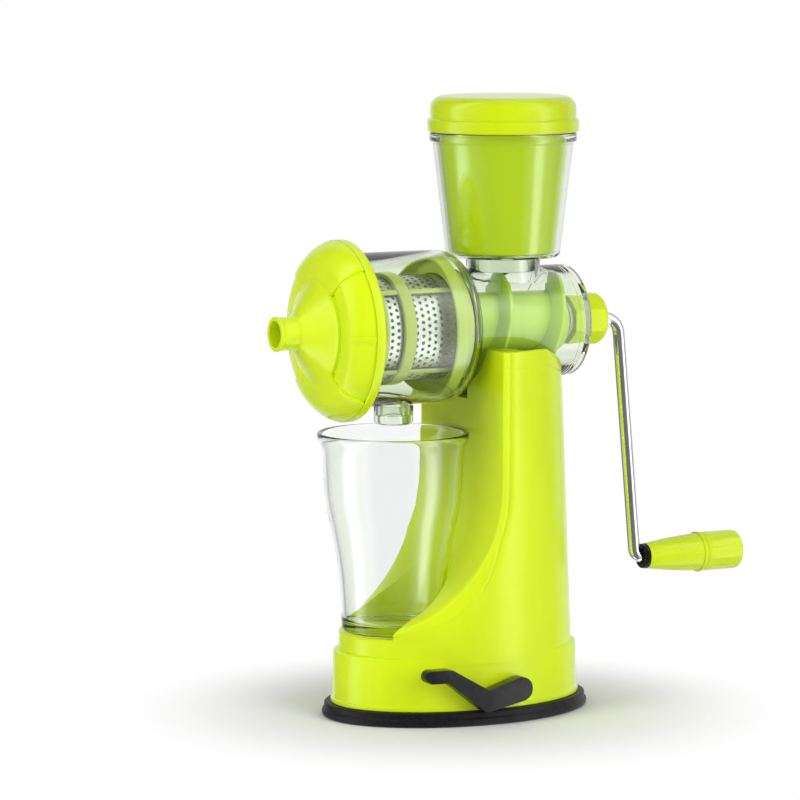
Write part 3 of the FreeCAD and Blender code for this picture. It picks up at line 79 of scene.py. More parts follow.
class JuicerColours(PropertyGroup):
    """Colours of the juicer's finishes"""
    lime: colour("Lime plastic", "Stand, cover, knob, cap and grip", (0.68, 0.86, 0.005))
    # painted shade: the plunger colour is the lime made darker, standing in for the shade on the
    # pusher inside the hopper
    plunger: colour("Plunger", "Deeper lime of the plunger in the hopper", (0.58, 0.74, 0.004))
    auger: colour("Auger", "Green of the auger", (0.60, 0.82, 0.08))
    strainer: colour("Strainer frame", "Pale green of the strainer's frame", (0.56, 0.68, 0.12))
    clear: colour("Clear plastic", "Tint of the chamber and hopper", (0.91, 0.955, 0.88))
    glass: colour("Glass", "Tint of the tumbler", (0.985, 0.996, 0.99))
    black: colour("Black", "Rubber pad, lever and bush", (0.005, 0.005, 0.006))
    steel: colour("Steel", "Sleeve, rod and small parts", (0.62, 0.63, 0.64))


class StandSizes(PropertyGroup):
    """Sizes of the stand and foot"""
    skirt_top: size("Skirt top", "Height of the ledge on the skirt", 0.037)
    top: size("Top", "Height of the column", 0.203)
    wall: size("Wall", "Thickness of the stand's wall", 0.003)
    edge: size("Front edge", "Rounding of the column's front edges", 0.0022)
    line_depth: size("Line depth", "Depth of the line behind the front edges", 0.0007)
    face: size("Front face", "How far the flat front stands behind the middle", 0.0038)
    scoop: size("Scoop", "Radius of the scooped front", 0.080)
    scoop_height: size("Scoop height", "Where the scoop leaves the flat front", 0.1302)


class ChamberSizes(PropertyGroup):
    """Sizes of the clear chamber"""
    drum: size("Drum", "Outer radius of the drum", 0.042)
    tube: size("Feed tube", "Outer radius of the feed tube", 0.031)
    wall: size("Wall", "Thickness of the clear wall", 0.0025)
    collar: size("Collar", "Outer radius of the hopper's collar", 0.0205)
    throat: size("Throat", "Radius of the hole under the hopper", 0.018)
    spout: size("Spout", "Outer radius of the juice spout", 0.01085)


class StrainerSizes(PropertyGroup):
    """Sizes of the perforated sleeve"""
    radius: size("Radius", "Outer radius of the sleeve", 0.0296)
    sheet: size("Sheet", "Thickness of the sheet", 0.0006)
    hole: size("Hole", "Radius of a hole", 0.00098)
    across: size("Column pitch", "Distance between columns of holes", 0.0037)
    rows: IntProperty(name="Rows", description="Holes round the sleeve", default=50, min=12)


class AugerSizes(PropertyGroup):
    """Sizes of the auger"""
    core: size("Core", "Radius of the core under the hopper", 0.0175)
    front: size("Core front", "Radius of the core in the strainer", 0.0215)
    flight: size("Flight", "Outer radius of the flight", 0.028)
    pitch: size("Pitch", "Advance of the flight in one turn", 0.033)


class CrankSizes(PropertyGroup):
    """Sizes of the knob, rod and grip"""
    knob: size("Knob", "Radius of the knob", 0.0149)
    flat: size("Knob flat", "Distance of a flat from the axis", 0.0139)
    rod: size("Rod", "Radius of the rod", 0.0035)
    reach: size("Reach", "Distance of the grip from the axis", 0.137)


class FeedSizes(PropertyGroup):
    """Sizes of the hopper and pusher"""
    height: size("Hopper height", "Floor to rim", 0.0685)
    foot: size("Hopper foot", "Radius at the floor", 0.0314)
    top: size("Hopper top", "Radius under the rim", 0.0389)
    wall: size("Wall", "Thickness of the hopper's wall", 0.0022)


class StageSettings(PropertyGroup):
    """Camera and light"""
    lens: FloatProperty(name="Lens", description="Focal length in millimetres", default=197.7,
                        min=20.0)
    sky: amount("Sky", "Strength of the light all round", 0.36)
    key: amount("Key light", "Power of the lamp on the side", 27.0, unit="POWER")
    fill: amount("Fill light", "Power of the lamp in front", 23.0, unit="POWER")


# ---- making meshes

def everything(form):
    """All corners, edges and faces of a form."""
    return form.verts[:] + form.edges[:] + form.faces[:]


def verts_in(items):
    return [item for item in items if isinstance(item, bmesh.types.BMVert)]


def faces_in(items):
    return [item for item in items if isinstance(item, bmesh.types.BMFace)]


def along_axis(x, z=0.0):
    """A place given from the middle of the auger's line."""
    return AXIS + Vector((x, 0, z))


def moved(form, way):
    """Moves a whole form and returns it."""
    bmesh.ops.translate(form, verts=form.verts, vec=way)
    return form


def rolled(form, angle, axis="X"):
    """Turns a whole form about a line through the origin and returns it."""
    bmesh.ops.rotate(form, verts=form.verts, cent=(0, 0, 0),
                     matrix=Matrix.Rotation(angle, 3, axis))
    return form


def merged(form, reach):
    """Merges the corners that meet and returns the form."""
    bmesh.ops.remove_doubles(form, verts=form.verts, dist=reach)
    return form


def outward(form):
    """Points the faces of a form outwards and returns it."""
    bmesh.ops.recalc_face_normals(form, faces=form.faces)
    return form


def rounded(form, geom, reach, steps, affect):
    """Rounds some corners (VERTICES) or edges (EDGES) of a form."""
    bmesh.ops.bevel(form, geom=geom, offset=reach, offset_type="OFFSET", segments=steps,
                    profile=0.5, affect=affect, material=-1, clamp_overlap=True)


def turned(corners, about="X", centre=AXIS, steps=96, closed=True, angle=FULL_TURN, start=0.0):
    """Spins a line of corners about an axis through centre.

    A corner is (x, z) from the centre; a rounded one also says how far the rounding reaches
    along its sides and in how many steps.
    """
    form = bmesh.new()
    points = [form.verts.new((x, 0, z)) for x, z, *_ in corners]
    for first, second in zip(points, points[1:]):
        form.edges.new((first, second))
    if closed:
        form.edges.new((points[-1], points[0]))
    for point, (_, _, *rounding) in zip(points, corners):
        if rounding:
            rounded(form, [point], *rounding, "VERTICES")
    axis = Vector((1, 0, 0)) if about == "X" else Vector((0, 0, 1))
    if angle < FULL_TURN:
        bmesh.ops.contextual_create(form, geom=form.edges[:])
    if start:
        rolled(form, start, axis)
    bmesh.ops.spin(form, geom=everything(form), cent=(0, 0, 0), axis=axis, dvec=(0, 0, 0),
                   angle=angle, steps=steps, use_merge=angle == FULL_TURN, use_duplicate=False)
    return outward(moved(merged(form, 1e-6), centre))


def upright(corners, centre, steps=128, closed=False):
    """Spins a line of corners (reach, height) about a vertical line through centre."""
    return turned(corners, "Z", centre, steps, closed)


def block(low, high):
    """A box between two corners."""
    form = bmesh.new()
    bmesh.ops.create_cube(form, size=1)
    low, high = Vector(low), Vector(high)
    bmesh.ops.scale(form, verts=form.verts, vec=high - low)
    return moved(form, (low + high) / 2)


def rod(radius, start, end, steps=64):
    """A straight round bar between two points."""
    form = bmesh.new()
    start, end = Vector(start), Vector(end)
    bmesh.ops.create_cone(form, cap_ends=True, segments=steps, radius1=radius, radius2=radius,
                          depth=(end - start).length)
    turn = Vector((0, 0, 1)).rotation_difference(end - start).to_matrix()
    bmesh.ops.rotate(form, verts=form.verts, cent=(0, 0, 0), matrix=turn)
    return moved(form, (start + end) / 2)


def object_of(name, form):
    """Puts a form in the scene as an object and frees it."""
    mesh = bpy.data.meshes.new(name)
    form.to_mesh(mesh)
    form.free()
    thing = bpy.data.objects.new(name, mesh)
    bpy.context.scene.collection.objects.link(thing)
    return thing


def combined(base, tool, operation):
    """Joins or cuts two closed forms and returns one form."""
    pair = [object_of("form", form) for form in (base, tool)]
    change = pair[0].modifiers.new("shape", "BOOLEAN")
    change.operation = operation
    change.solver = "EXACT"
    change.object = pair[1]
    result = bmesh.new()
    result.from_object(pair[0], bpy.context.evaluated_depsgraph_get())
    for thing in pair:
        mesh = thing.data
        bpy.data.objects.remove(thing)
        bpy.data.meshes.remove(mesh)
    return merged(result, 1e-7)


def joined(base, *others):
    """One form out of several that touch."""
    for other in others:
        base = combined(base, other, "UNION")
    return base


def hollowed(base, *tools):
    """A form with the space of the others cut away."""
    for tool in tools:
        base = combined(base, tool, "DIFFERENCE")
    return base


def soften(form, width, angle=40, steps=2):
    """Rounds every edge that is sharper than the angle."""
    sharp = [edge for edge in form.edges
             if len(edge.link_faces) == 2 and edge.calc_face_angle(0) > radians(angle)]
    rounded(form, sharp, width, steps, "EDGES")


def finished(name, form, body, finish, replaces, sharp=38):
    """Makes the form a piece that rides on a body and stands for nodes of the frame."""
    piece = object_of(name, form)
    piece.data.shade_smooth()
    piece.data.set_sharp_from_angle(angle=radians(sharp))
    piece.data.materials.append(FINISHES[finish])
    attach(piece, body)
    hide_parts(*replaces)


# ---- finishes

def wire(tree, made, sockets):
    """Links a socket that is given an output, and sets one that is given a value."""
    for name, value in sockets.items():
        if isinstance(value, NodeSocket):
            tree.links.new(value, made.inputs[name])
        else:
            made.inputs[name].default_value = value


def node(tree, kind, sockets=None, **settings):
    """Adds a shader node with its settings and its sockets."""
    made = tree.nodes.new("ShaderNode" + kind)
    for name, value in settings.items():
        setattr(made, name, value)
    wire(tree, made, sockets or {})
    return made


def mixed(tree, share, first, second):
    """Two shaders mixed by the share of the second."""
    return node(tree, "MixShader", {"Fac": share, 1: first, 2: second}).outputs["Shader"]


def blank(name):
    """A new material, its node tree and its shader."""
    made = bpy.data.materials.new(name)
    made.use_nodes = True
    return made, made.node_tree, made.node_tree.nodes["Principled BSDF"]


def noise(tree, scale, detail=3.0, stretch=(1, 1, 1)):
    """Noise that stays put on the piece."""
    place = node(tree, "Mapping", {"Vector": node(tree, "TexCoord").outputs["Object"],
                                   "Scale": stretch})
    return node(tree, "TexNoise", {"Vector": place.outputs["Vector"], "Scale": scale,
                                   "Detail": detail}).outputs["Fac"]


def ramp(tree, fac, low, high, start=0.3, end=0.7):
    """A colour that goes from low to high."""
    steps = node(tree, "ValToRGB", {"Fac": fac})
    for mark, position, tone in zip(steps.color_ramp.elements, (start, end), (low, high)):
        mark.position = position
        mark.color = (*tone, 1)
    return steps.outputs["Color"]


def spread(tree, fac, low, high):
    """A value that goes from low to high."""
    return node(tree, "MapRange", {"Value": fac, "To Min": low, "To Max": high}).outputs["Result"]


def grain(tree, fac, strength, distance):
    """The normal of a surface with a fine relief."""
    return node(tree, "Bump", {"Height": fac, "Strength": strength,
                               "Distance": distance}).outputs["Normal"]


def shaded(base, factor):
    """A darker or lighter tone of a colour."""
    return tuple(min(1.0, part * factor) for part in base)


def moulded_plastic(name, base, gloss=0.22, depth=0.12):
    """Glossy moulded plastic: slow drift of colour, faint flow marks and a fine orange peel."""
    made, tree, shader = blank(name)
    flow = noise(tree, 26, 4, (1, 1, 0.35))
    wire(tree, shader, {
        "Base Color": ramp(tree, flow, shaded(base, 0.93), shaded(base, 1.05)),
        "Roughness": spread(tree, noise(tree, 90, 2), gloss * 0.85, gloss * 1.35),
        "Normal": grain(tree, noise(tree, 420, 2), depth, 0.00006),
        "IOR": 1.42, "Coat Weight": 0.08, "Coat Roughness": 0.06})
    return made


def see_through(name, tint, shade, bend=1.45, rim=None):
    """Clear wall whose colour goes to a painted shade where it is seen edge on; lamps shine
    through onto what is inside.
    """
    made, tree, shader = blank(name)
    wire(tree, shader, {
        "Base Color": (*tint, 1), "Transmission Weight": 1.0, "IOR": bend,
        "Roughness": spread(tree, noise(tree, 60, 2), 0.0, 0.03),
        "Normal": grain(tree, noise(tree, 35, 1), 0.04, 0.0004)})
    # painted shade: the colour darkens towards the rim colour where the wall is seen edge on
    if rim:
        facing = node(tree, "LayerWeight", {"Blend": 0.5}).outputs["Facing"]
        wire(tree, shader, {"Base Color": ramp(tree, facing, tint, rim, 0.54, 0.95)})
    shadow = node(tree, "LightPath").outputs["Is Shadow Ray"]
    passes = node(tree, "BsdfTransparent", {"Color": (*shade, 1)}).outputs["BSDF"]
    wire(tree, tree.nodes["Material Output"],
         {"Surface": mixed(tree, shadow, shader.outputs["BSDF"], passes)})
    return made


def black_finish(name, base, gloss, fineness, depth):
    """Black rubber or plastic with a fine grain."""
    made, tree, shader = blank(name)
    speck = noise(tree, fineness, 4)
    wire(tree, shader, {
        "Base Color": ramp(tree, speck, shaded(base, 0.6), shaded(base, 2.2)),
        "Roughness": spread(tree, noise(tree, 70, 3), gloss * 0.8, gloss * 1.3),
        "Normal": grain(tree, speck, depth, 0.0001), "Specular IOR Level": 0.25})
    return made


def metal(name, base, gloss, stretch=(1, 1, 1), fineness=300, depth=0.1):
    """Bright metal; stretch draws the grain out along the way it was worked."""
    made, tree, shader = blank(name)
    lines = noise(tree, fineness, 3, stretch)
    wire(tree, shader, {
        "Base Color": ramp(tree, lines, shaded(base, 0.86), shaded(base, 1.1)),
        "Roughness": spread(tree, lines, gloss * 0.7, gloss * 1.5),
        "Normal": grain(tree, lines, depth, 0.00004), "Metallic": 1.0})
    return made


FINISHES = {}


class JUICER_OT_finishes(Operator):
    """Makes the plastics, rubbers, metals and glass that the pieces wear"""
    bl_idname = "juicer.finishes"
    bl_label = "Finishes"

    def execute(self, context):
        tone = context.scene.juicer_colours
        FINISHES.update({
            "lime": moulded_plastic("lime_plastic", tone.lime),
            # painted shade: the pusher and its cap wear a darker copy of the lime plastic
            "plunger": moulded_plastic("plunger_painted_shade_lime", tone.plunger, 0.16),
            "auger": moulded_plastic("auger_green", tone.auger, 0.2),
            "strainer": moulded_plastic("strainer_green", tone.strainer, 0.22),
            # the clear plastic's rim colour (0.42, 0.52, 0.30) is painted shade along its edge-on
            # walls
            "clear": see_through("clear_plastic", tone.clear, shaded(tone.clear, 0.97), 1.45,
                                 (0.42, 0.52, 0.30)),
            "glass": see_through("tumbler_glass", tone.glass, shaded(tone.glass, 0.97), 1.5),
            "white": moulded_plastic("white_plastic", (0.74, 0.75, 0.70), 0.35),
            "dark": black_finish("dark_plastic", shaded(tone.black, 2.0), 0.45, 500, 0.25),
            "black": black_finish("black_plastic", tone.black, 0.24, 260, 0.12),
            "rubber": black_finish("black_rubber", tone.black, 0.5, 620, 0.35),
            "seal": moulded_plastic("seal_rubber", (0.78, 0.80, 0.76), 0.42, 0.2),
            "steel": metal("steel", tone.steel, 0.24),
            "sheet": metal("steel_sheet", tone.steel, 0.3, (0.15, 1, 1), 420),
            "chrome": metal("chromed_rod", (0.80, 0.80, 0.82), 0.07, (1, 1, 0.1), 160, 0.04),
        })
        return {"FINISHED"}


# ---- stand and foot

SKIRT_LONG, SKIRT_WIDE = 0.0731, 0.0498
COLUMN_LONG, COLUMN_TOP_LONG = 0.0682, 0.0605
COLUMN_WIDE, COLUMN_TOP_WIDE = 0.0489, 0.0493
SCOOP_ANGLE = 66
LINE_END, LINE_FADE, EDGE_GROWTH = 0.098, 0.045, 0.012
LINE_STEPS = (0.0088, 0.0058, 0.0032, 0.0026, 0.0022, 0.0012)
TOP_ROUNDING, GROOVE_DROP, GROOVE_DEPTH = 0.0012, 0.0096, 0.0002
TOP_BACKS = (0.0102, 0.0096, 0.0090, 0.0060, 0.0030, 0.0013, 0.0004, 0.00008, 0.0)
FALL_X, FALL_Z, FALL_HEIGHT, TOP_FALL = 0.036, 0.165, 0.038, 0.012


def front_limit(z, s, skin):
    """X of the column's front at a height: flat face, scoop, then slope down to the front."""
    turn = radians(SCOOP_ANGLE)
    middle = s.face - s.scoop
    reach = s.scoop + skin
    end_x = middle + reach * cos(turn)
    end_z = s.scoop_height - reach * sin(turn)
    if z >= s.scoop_height:
        return s.face + skin
    if z >= end_z:
        return middle + sqrt(reach ** 2 - (z - s.scoop_height) ** 2)
    return end_x + (z - end_z) * tan(turn)


def column_half(z, s, skin):
    """One side of the column's section, from the rear middle to the front middle."""
    share = (z - s.skirt_top) / (s.top - s.skirt_top)
    long = COLUMN_LONG + (COLUMN_TOP_LONG - COLUMN_LONG) * share - skin
    wide = COLUMN_WIDE + (COLUMN_TOP_WIDE - COLUMN_WIDE) * share - skin
    front = max(front_limit(z, s, skin), -long * 0.995)
    corner = acos(front / long)
    side = wide * sin(corner)
    blend = min(1.0, max(0.0, (LINE_END - z) / LINE_FADE))
    edge = min(s.edge + EDGE_GROWTH * blend, side * 0.45) if skin == 0 else 0.0005
    rim = Vector((front, side))
    slope = hypot(long * sin(corner), wide * cos(corner))

    def around(turn):
        return Vector((long * cos(turn), wide * sin(turn)))

    behind = [edge + step for step in LINE_STEPS]
    last = corner - behind[0] / slope
    points = [around(last * step / 30) for step in range(30)]
    for reach in behind:
        turn = max(corner - reach / slope, 0.0)
        point = around(turn)
        if skin == 0 and reach in behind[2:5]:
            depth = s.line_depth * (1 - blend) * (1.0 if reach == behind[3] else 0.4)
            point -= Vector((cos(turn) / long, sin(turn) / wide)).normalized() * depth
        points.append(point)
    first = around(corner - edge / slope)
    final = rim - Vector((0, edge))
    for step in range(7):
        way = step / 6
        points.append(first * (1 - way) ** 2 + rim * 2 * way * (1 - way) + final * way ** 2)
    for step in range(1, 8):
        points.append(final * (1 - step / 7))
        points[-1].x = front
    return points


def lofted(levels):
    """Bridges closed rings of points, one at each level, and closes both ends."""
    form = bmesh.new()
    rings = []
    for ring in levels:
        points = [form.verts.new(point) for point in ring]
        rings.append([form.edges.new(pair) for pair in zip(points, points[1:] + points[:1])])
    for lower, upper in zip(rings, rings[1:]):
        bmesh.ops.bridge_loops(form, edges=lower + upper)
    for ring in (rings[0], rings[-1]):
        bmesh.ops.contextual_create(form, geom=ring)
    return outward(form)


def drawn_in(below_top):
    """How far a section stands in at the column's rounded top and its small groove."""
    if below_top < TOP_ROUNDING:
        way = 1 - below_top / TOP_ROUNDING
        return TOP_ROUNDING * (1 - sqrt(max(0.0, 1 - way ** 2)))
    return GROOVE_DEPTH if abs(below_top - GROOVE_DROP) < 0.0001 else 0.0


def column(s, low, high, skin=0.0):
    """The column as a loft of sections, its top falling to the rear."""
    heights = [low]
    while heights[-1] < high - 0.0001:
        step = 0.0016 if 0.04 < heights[-1] < 0.075 else 0.0032
        heights.append(min(high, heights[-1] + step))
    if skin == 0:
        heights = [z for z in heights if z < high - 0.0105]
        heights += [high - back for back in TOP_BACKS]
    levels = []
    for z in heights:
        half = column_half(z, s, skin)
        ring = half + [Vector((point.x, -point.y)) for point in reversed(half[1:-1])]
        shrink = 1.0 if skin else 1 - drawn_in(high - z) / 0.05
        placed = []
        for point in ring:
            drop = max(0.0, point.x - FALL_X) / (COLUMN_TOP_LONG - FALL_X) * TOP_FALL
            drop *= max(0.0, (z - FALL_Z) / FALL_HEIGHT) ** 2
            placed.append((s.face + (point.x - s.face) * shrink, point.y * shrink, z - drop))
        levels.append(placed)
    return lofted(levels)


def oval(levels, steps=128):
    """Bridges ellipses given as (height, half length, half width)."""
    return lofted([[(long * cos(FULL_TURN * step / steps),
                     wide * sin(FULL_TURN * step / steps), z) for step in range(steps)]
                   for z, long, wide in levels])


def glass_pocket(room):
    """Space for the glass and its way out to the front."""
    recess = upright([(0, 0.047 - room), (0.0294 + room, 0.047 - room), (0.0294 + room, 0.0693),
                      (0.0339 + room, 0.0993), (0.0387 + room, 0.1213), (0, 0.1213)],
                     (GLASS_X, 0, 0))
    way_out = block((-0.2, -0.0294 - room, 0.047 - room), (GLASS_X, 0.0294 + room, 0.0693))
    return joined(recess, way_out)


class JUICER_OT_stand(Operator):
    """Lofts the stand with its skirt, scooped front, recess for the glass and cradle"""
    bl_idname = "juicer.stand"
    bl_label = "Stand"

    def execute(self, context):
        s = context.scene.juicer_stand
        long, wide, top = SKIRT_LONG, SKIRT_WIDE, s.skirt_top
        skirt = oval([(0.0079, long - 0.0006, wide - 0.0006), (0.0083, long, wide),
                      (0.0100, long, wide), (0.0107, long - 0.0011, wide - 0.0011),
                      (top - 0.0016, long - 0.0015, wide - 0.0014),
                      (top - 0.0005, long - 0.0019, wide - 0.0018),
                      (top, long - 0.0030, wide - 0.0024)])
        cradle = rod(0.0313, (-0.2, 0, AXIS.z), (0.2, 0, AXIS.z), 96)
        slot = block((-0.05, -0.0068, 0.1738), (0.0343, 0.0068, 0.2))
        inner = joined(oval([(0.0, long - 0.003, wide - 0.003),
                             (top - 0.0031, long - 0.003, wide - 0.003)]),
                       column(s, top - 0.004, 0.170, s.wall))
        axle = rod(0.00306, (LEVER_X, -0.07, LEVER_Z), (LEVER_X, 0, LEVER_Z), 32)
        shape = hollowed(joined(skirt, column(s, top - 0.004, s.top)), glass_pocket(0.0),
                         cradle, slot, hollowed(inner, glass_pocket(s.wall)), axle)
        finished("stand_moulding", shape, "stand", "lime", ["stand_shell"], sharp=32)
        return {"FINISHED"}


class JUICER_OT_foot(Operator):
    """Turns the rubber pad with its bead, groove and sealing lip"""
    bl_idname = "juicer.foot"
    bl_label = "Suction pad"

    def execute(self, context):
        rim = 0.0783
        form = upright([
            (0, 0.0011), (rim - 0.012, 0.0011, 0.0006, 3), (rim - 0.0085, 0.0, 0.0003, 2),
            (rim - 0.0012, 0.0, 0.0010, 4), (rim, 0.0016, 0.0010, 4),
            (rim - 0.0003, 0.0040, 0.0009, 4), (rim - 0.0016, 0.0046, 0.0006, 3),
            (rim - 0.0014, 0.0079, 0.0012, 4), (rim - 0.007, 0.0079, 0.0006, 2),
            (0.0335, 0.0077, 0.0006, 2), (0.032, 0.0018, 0.0006, 2), (0, 0.0018)], (0, 0, 0), 160)
        bmesh.ops.scale(form, verts=form.verts, vec=(1, 0.0541 / rim, 1))
        finished("foot_pad", form, "stand", "rubber", ["suction_pad"])
        return {"FINISHED"}


def link_web(first, last):
    """The four corners of a straight web that touches two discs (x, z, radius)."""
    (x1, z1, r1), (x2, z2, r2) = first, last
    way = Vector((x2 - x1, z2 - z1))
    far = way.length
    way /= far
    lean = (r1 - r2) / far
    level = sqrt(1 - lean * lean)
    corners = []
    for side in (1, -1):
        across = Vector((-way.y, way.x)) * side
        out = way * lean + across * level
        pair = [Vector((x1, z1)) + out * r1, Vector((x2, z2)) + out * r2]
        corners += pair if side == 1 else pair[::-1]
    return corners


class JUICER_OT_lever(Operator):
    """Shapes the vacuum lever: hub, broad paddle and thin hooked arm"""
    bl_idname = "juicer.lever"
    bl_label = "Vacuum lever"

    def execute(self, context):
        hub, paddle = (0, 0, 0.0056), (0.0204, 0.0054, 0.0066)
        knee, tip = (-0.0235, 0.0158, 0.0036), (-0.0346, 0.0161, 0.00353)
        near, far = -0.0585, -0.0510
        shape = joined(*[rod(radius, (x, near, z), (x, far, z), 40)
                         for x, z, radius in (hub, paddle, knee, tip)])
        for first, last in ((hub, paddle), (hub, knee), (knee, tip)):
            web = bmesh.new()
            points = [web.verts.new((corner.x, near, corner.y))
                      for corner in link_web(first, last)]
            grown = bmesh.ops.extrude_face_region(web, geom=[web.faces.new(points)])["geom"]
            bmesh.ops.translate(web, vec=(0, far - near, 0), verts=verts_in(grown))
            shape = joined(shape, outward(web))
        bmesh.ops.dissolve_limit(shape, angle_limit=radians(0.5), verts=shape.verts,
                                 edges=shape.edges)
        soften(shape, 0.0016, 50, 4)
        moved(shape, (LEVER_X, 0, LEVER_Z))
        finished("lever_moulding", shape, "lever", "black", ["vacuum_lever"], sharp=35)
        return {"FINISHED"}


# ---- chamber

class JUICER_OT_chamber(Operator):
    """Makes the clear chamber: drum, shoulder, feed tube, collar, nipple and foot"""
    bl_idname = "juicer.chamber"
    bl_label = "Chamber"

    def execute(self, context):
        s = context.scene.juicer_chamber
        drum, tube, wall = s.drum, s.tube, s.wall
        step = drum - tube
        outside = turned([
            (-0.077, 0), (-0.077, drum, 0.0006, 3), (-0.012 + step, drum, step * 0.995, 12),
            (-0.012 + step, tube), (0.0619, tube), (0.0619, tube - 0.0006),
            (0.0625, tube - 0.0006), (0.0625, tube), (0.069, tube, 0.0012, 4), (0.069, 0)],
            closed=False, steps=128)
        collar = upright([(0, 0.01), (s.collar, 0.01), (s.collar, 0.037, 0.0007, 3), (0, 0.037)],
                         along_axis(HOPPER_X), 96)
        nipple = upright([(0, -0.0474), (0.0093, -0.0474, 0.0005, 2), (0.0093, -0.03), (0, -0.03)],
                         along_axis(SPOUT_X), 64)
        foot = block((0.008, -0.0065, AXIS.z - 0.0399), (0.034, 0.0065, AXIS.z - 0.025))
        for corner in foot.verts:
            if corner.co.z > AXIS.z - 0.03:
                corner.co.y *= 0.0042 / 0.0065
        soften(foot, 0.0004)
        inside = turned([
            (-0.09, 0), (-0.09, drum - wall), (-0.012 + step - wall, drum - wall,
                                               (step - wall) * 0.995, 12),
            (-0.012 + step - wall, tube - wall), (0.066, tube - wall, 0.0008, 3),
            (0.066, 0.013), (0.064, 0.013), (0.064, 0.00905), (0.08, 0.00905), (0.08, 0)],
            closed=False, steps=128)
        throat = rod(s.throat, (HOPPER_X, 0, AXIS.z), (HOPPER_X, 0, AXIS.z + 0.05), 96)
        drain = rod(0.006, (SPOUT_X, 0, AXIS.z - 0.06), (SPOUT_X, 0, AXIS.z), 48)
        shape = hollowed(joined(outside, collar, nipple, foot), inside, throat, drain)
        finished("chamber_moulding", shape, "chamber", "clear", ["juice_chamber"], sharp=35)

        foot_z = AXIS.z - drum - 0.0105
        low, high = 0.0048, 0.0102
        spout = upright([
            (0.0074, 0, 0.0004, 2), (s.spout, 0, 0.0021, 5), (s.spout, high, 0.0004, 2),
            (0.00935, high), (0.00935, low), (0.0074, low)], (SPOUT_X, 0, foot_z), 64,
            closed=True)
        finished("spout_moulding", spout, "chamber", "clear", ["juice_spout"])
        return {"FINISHED"}


class JUICER_OT_sleeve(Operator):
    """Punches the steel sleeve: staggered round holes in a sheet rolled to a tube"""
    bl_idname = "juicer.sleeve"
    bl_label = "Perforated sleeve"

    def execute(self, context):
        s = context.scene.juicer_strainer
        radius = s.radius - s.sheet / 2
        half_length, middle_x = 0.0275, -0.0405
        along = FULL_TURN * radius / s.rows
        form = bmesh.new()
        bmesh.ops.create_grid(form, x_segments=4, y_segments=4, size=0.5)
        inner = [vert for vert in form.verts if max(abs(vert.co.x), abs(vert.co.y)) < 0.49]
        bmesh.ops.delete(form, geom=inner, context="VERTS")
        bmesh.ops.delete(form, geom=form.faces[:], context="FACES_ONLY")
        bmesh.ops.scale(form, verts=form.verts, vec=(s.across, along, 1))
        square = form.edges[:]
        hole = bmesh.ops.create_circle(form, cap_ends=False, segments=16, radius=s.hole)["verts"]
        ring = list({edge for vert in hole for edge in vert.link_edges})
        bmesh.ops.bridge_loops(form, edges=square + ring)

        def repeated(part, x, y):
            copy = bmesh.ops.duplicate(form, geom=part)["geom"]
            bmesh.ops.translate(form, vec=(x, y, 0), verts=verts_in(copy))

        cell = everything(form)
        for row in range(1, s.rows):
            repeated(cell, 0, along * row)
        line = everything(form)
        columns = 14
        for number in range(1, columns):
            repeated(line, s.across * number, along / 2 * (number % 2))
        width = s.across * columns
        moved(merged(form, 1e-5), (s.across / 2 - width / 2, 0, 0))
        for side in (-1, 1):
            edge = [item for item in form.edges if item.is_boundary
                    and all(abs(vert.co.x - side * width / 2) < 1e-5 for vert in item.verts)]
            for vert in verts_in(bmesh.ops.extrude_edge_only(form, edges=edge)["geom"]):
                vert.co.x = side * half_length
        for vert in form.verts:
            turn = vert.co.y / radius
            vert.co = Vector((vert.co.x + middle_x, radius * sin(turn),
                              radius * cos(turn))) + AXIS
        outward(merged(form, 1e-5))
        bmesh.ops.solidify(form, geom=form.faces[:], thickness=s.sheet)
        finished("sleeve_punched", form, "chamber", "sheet", ["strainer_mesh"], sharp=30)
        return {"FINISHED"}


class JUICER_OT_strainer(Operator):
    """Makes the strainer's moulded frame: collars, rings, long ribs and rear flange"""
    bl_idname = "juicer.strainer"
    bl_label = "Strainer frame"

    def execute(self, context):
        bore, outer, lip, edge = 0.02995, 0.0311, 0.0290, 0.0389
        front = [
            (-0.0767, lip, 0.0003, 2), (-0.0767, 0.0392, 0.0006, 3), (-0.0750, 0.0392, 0.0006, 3),
            (-0.0750, outer, 0.0008, 3), (-0.0665, outer, 0.0005, 2), (-0.0665, bore),
            (-0.06805, bore), (-0.06805, lip)]
        broad = [(-0.0472, bore), (-0.0472, 0.0320, 0.0007, 3), (-0.0402, 0.0320, 0.0007, 3),
                 (-0.0402, bore)]
        narrow = [(-0.0581, bore), (-0.0581, outer, 0.0004, 2), (-0.0559, outer, 0.0004, 2),
                  (-0.0559, bore)]
        rear = [(-0.0140, bore), (-0.0140, edge - 0.0017, 0.0006, 3),
                (-0.0195, edge - 0.0017, 0.0005, 2), (-0.0195, edge, 0.0007, 3),
                (-0.0123, edge, 0.0007, 3), (-0.0123, bore)]
        seat = [(-0.0145, bore), (-0.0145, outer, 0.0005, 2), (-0.0038, outer, 0.0005, 2),
                (-0.0038, lip), (-0.01295, lip), (-0.01295, bore)]
        rings = [turned(corners) for corners in (front, broad, narrow, rear, seat)]
        ribs = []
        for quarter in range(4):
            rib = block((-0.068, -0.0015, bore), (-0.013, 0.0015, outer))
            soften(rib, 0.0004)
            ribs.append(moved(rolled(rib, radians(45 + 90 * quarter)), AXIS))
        shape = joined(*rings, *ribs)
        finished("strainer_moulding", shape, "chamber", "strainer", ["strainer_frame"], sharp=35)
        return {"FINISHED"}


# ---- cover

def bulge(first, last, radius):
    """Corner and reach that round into an arc of the radius from first to last."""
    first, last = Vector(first), Vector(last)
    half = (last - first) / 2
    turn = asin(min(0.999, half.length / radius))
    across = Vector((-half.y, half.x)).normalized()
    if across.y < 0:
        across = -across
    corner = first + half + across * half.length * tan(turn)
    return corner.x, corner.y, half.length / cos(turn) * 0.999


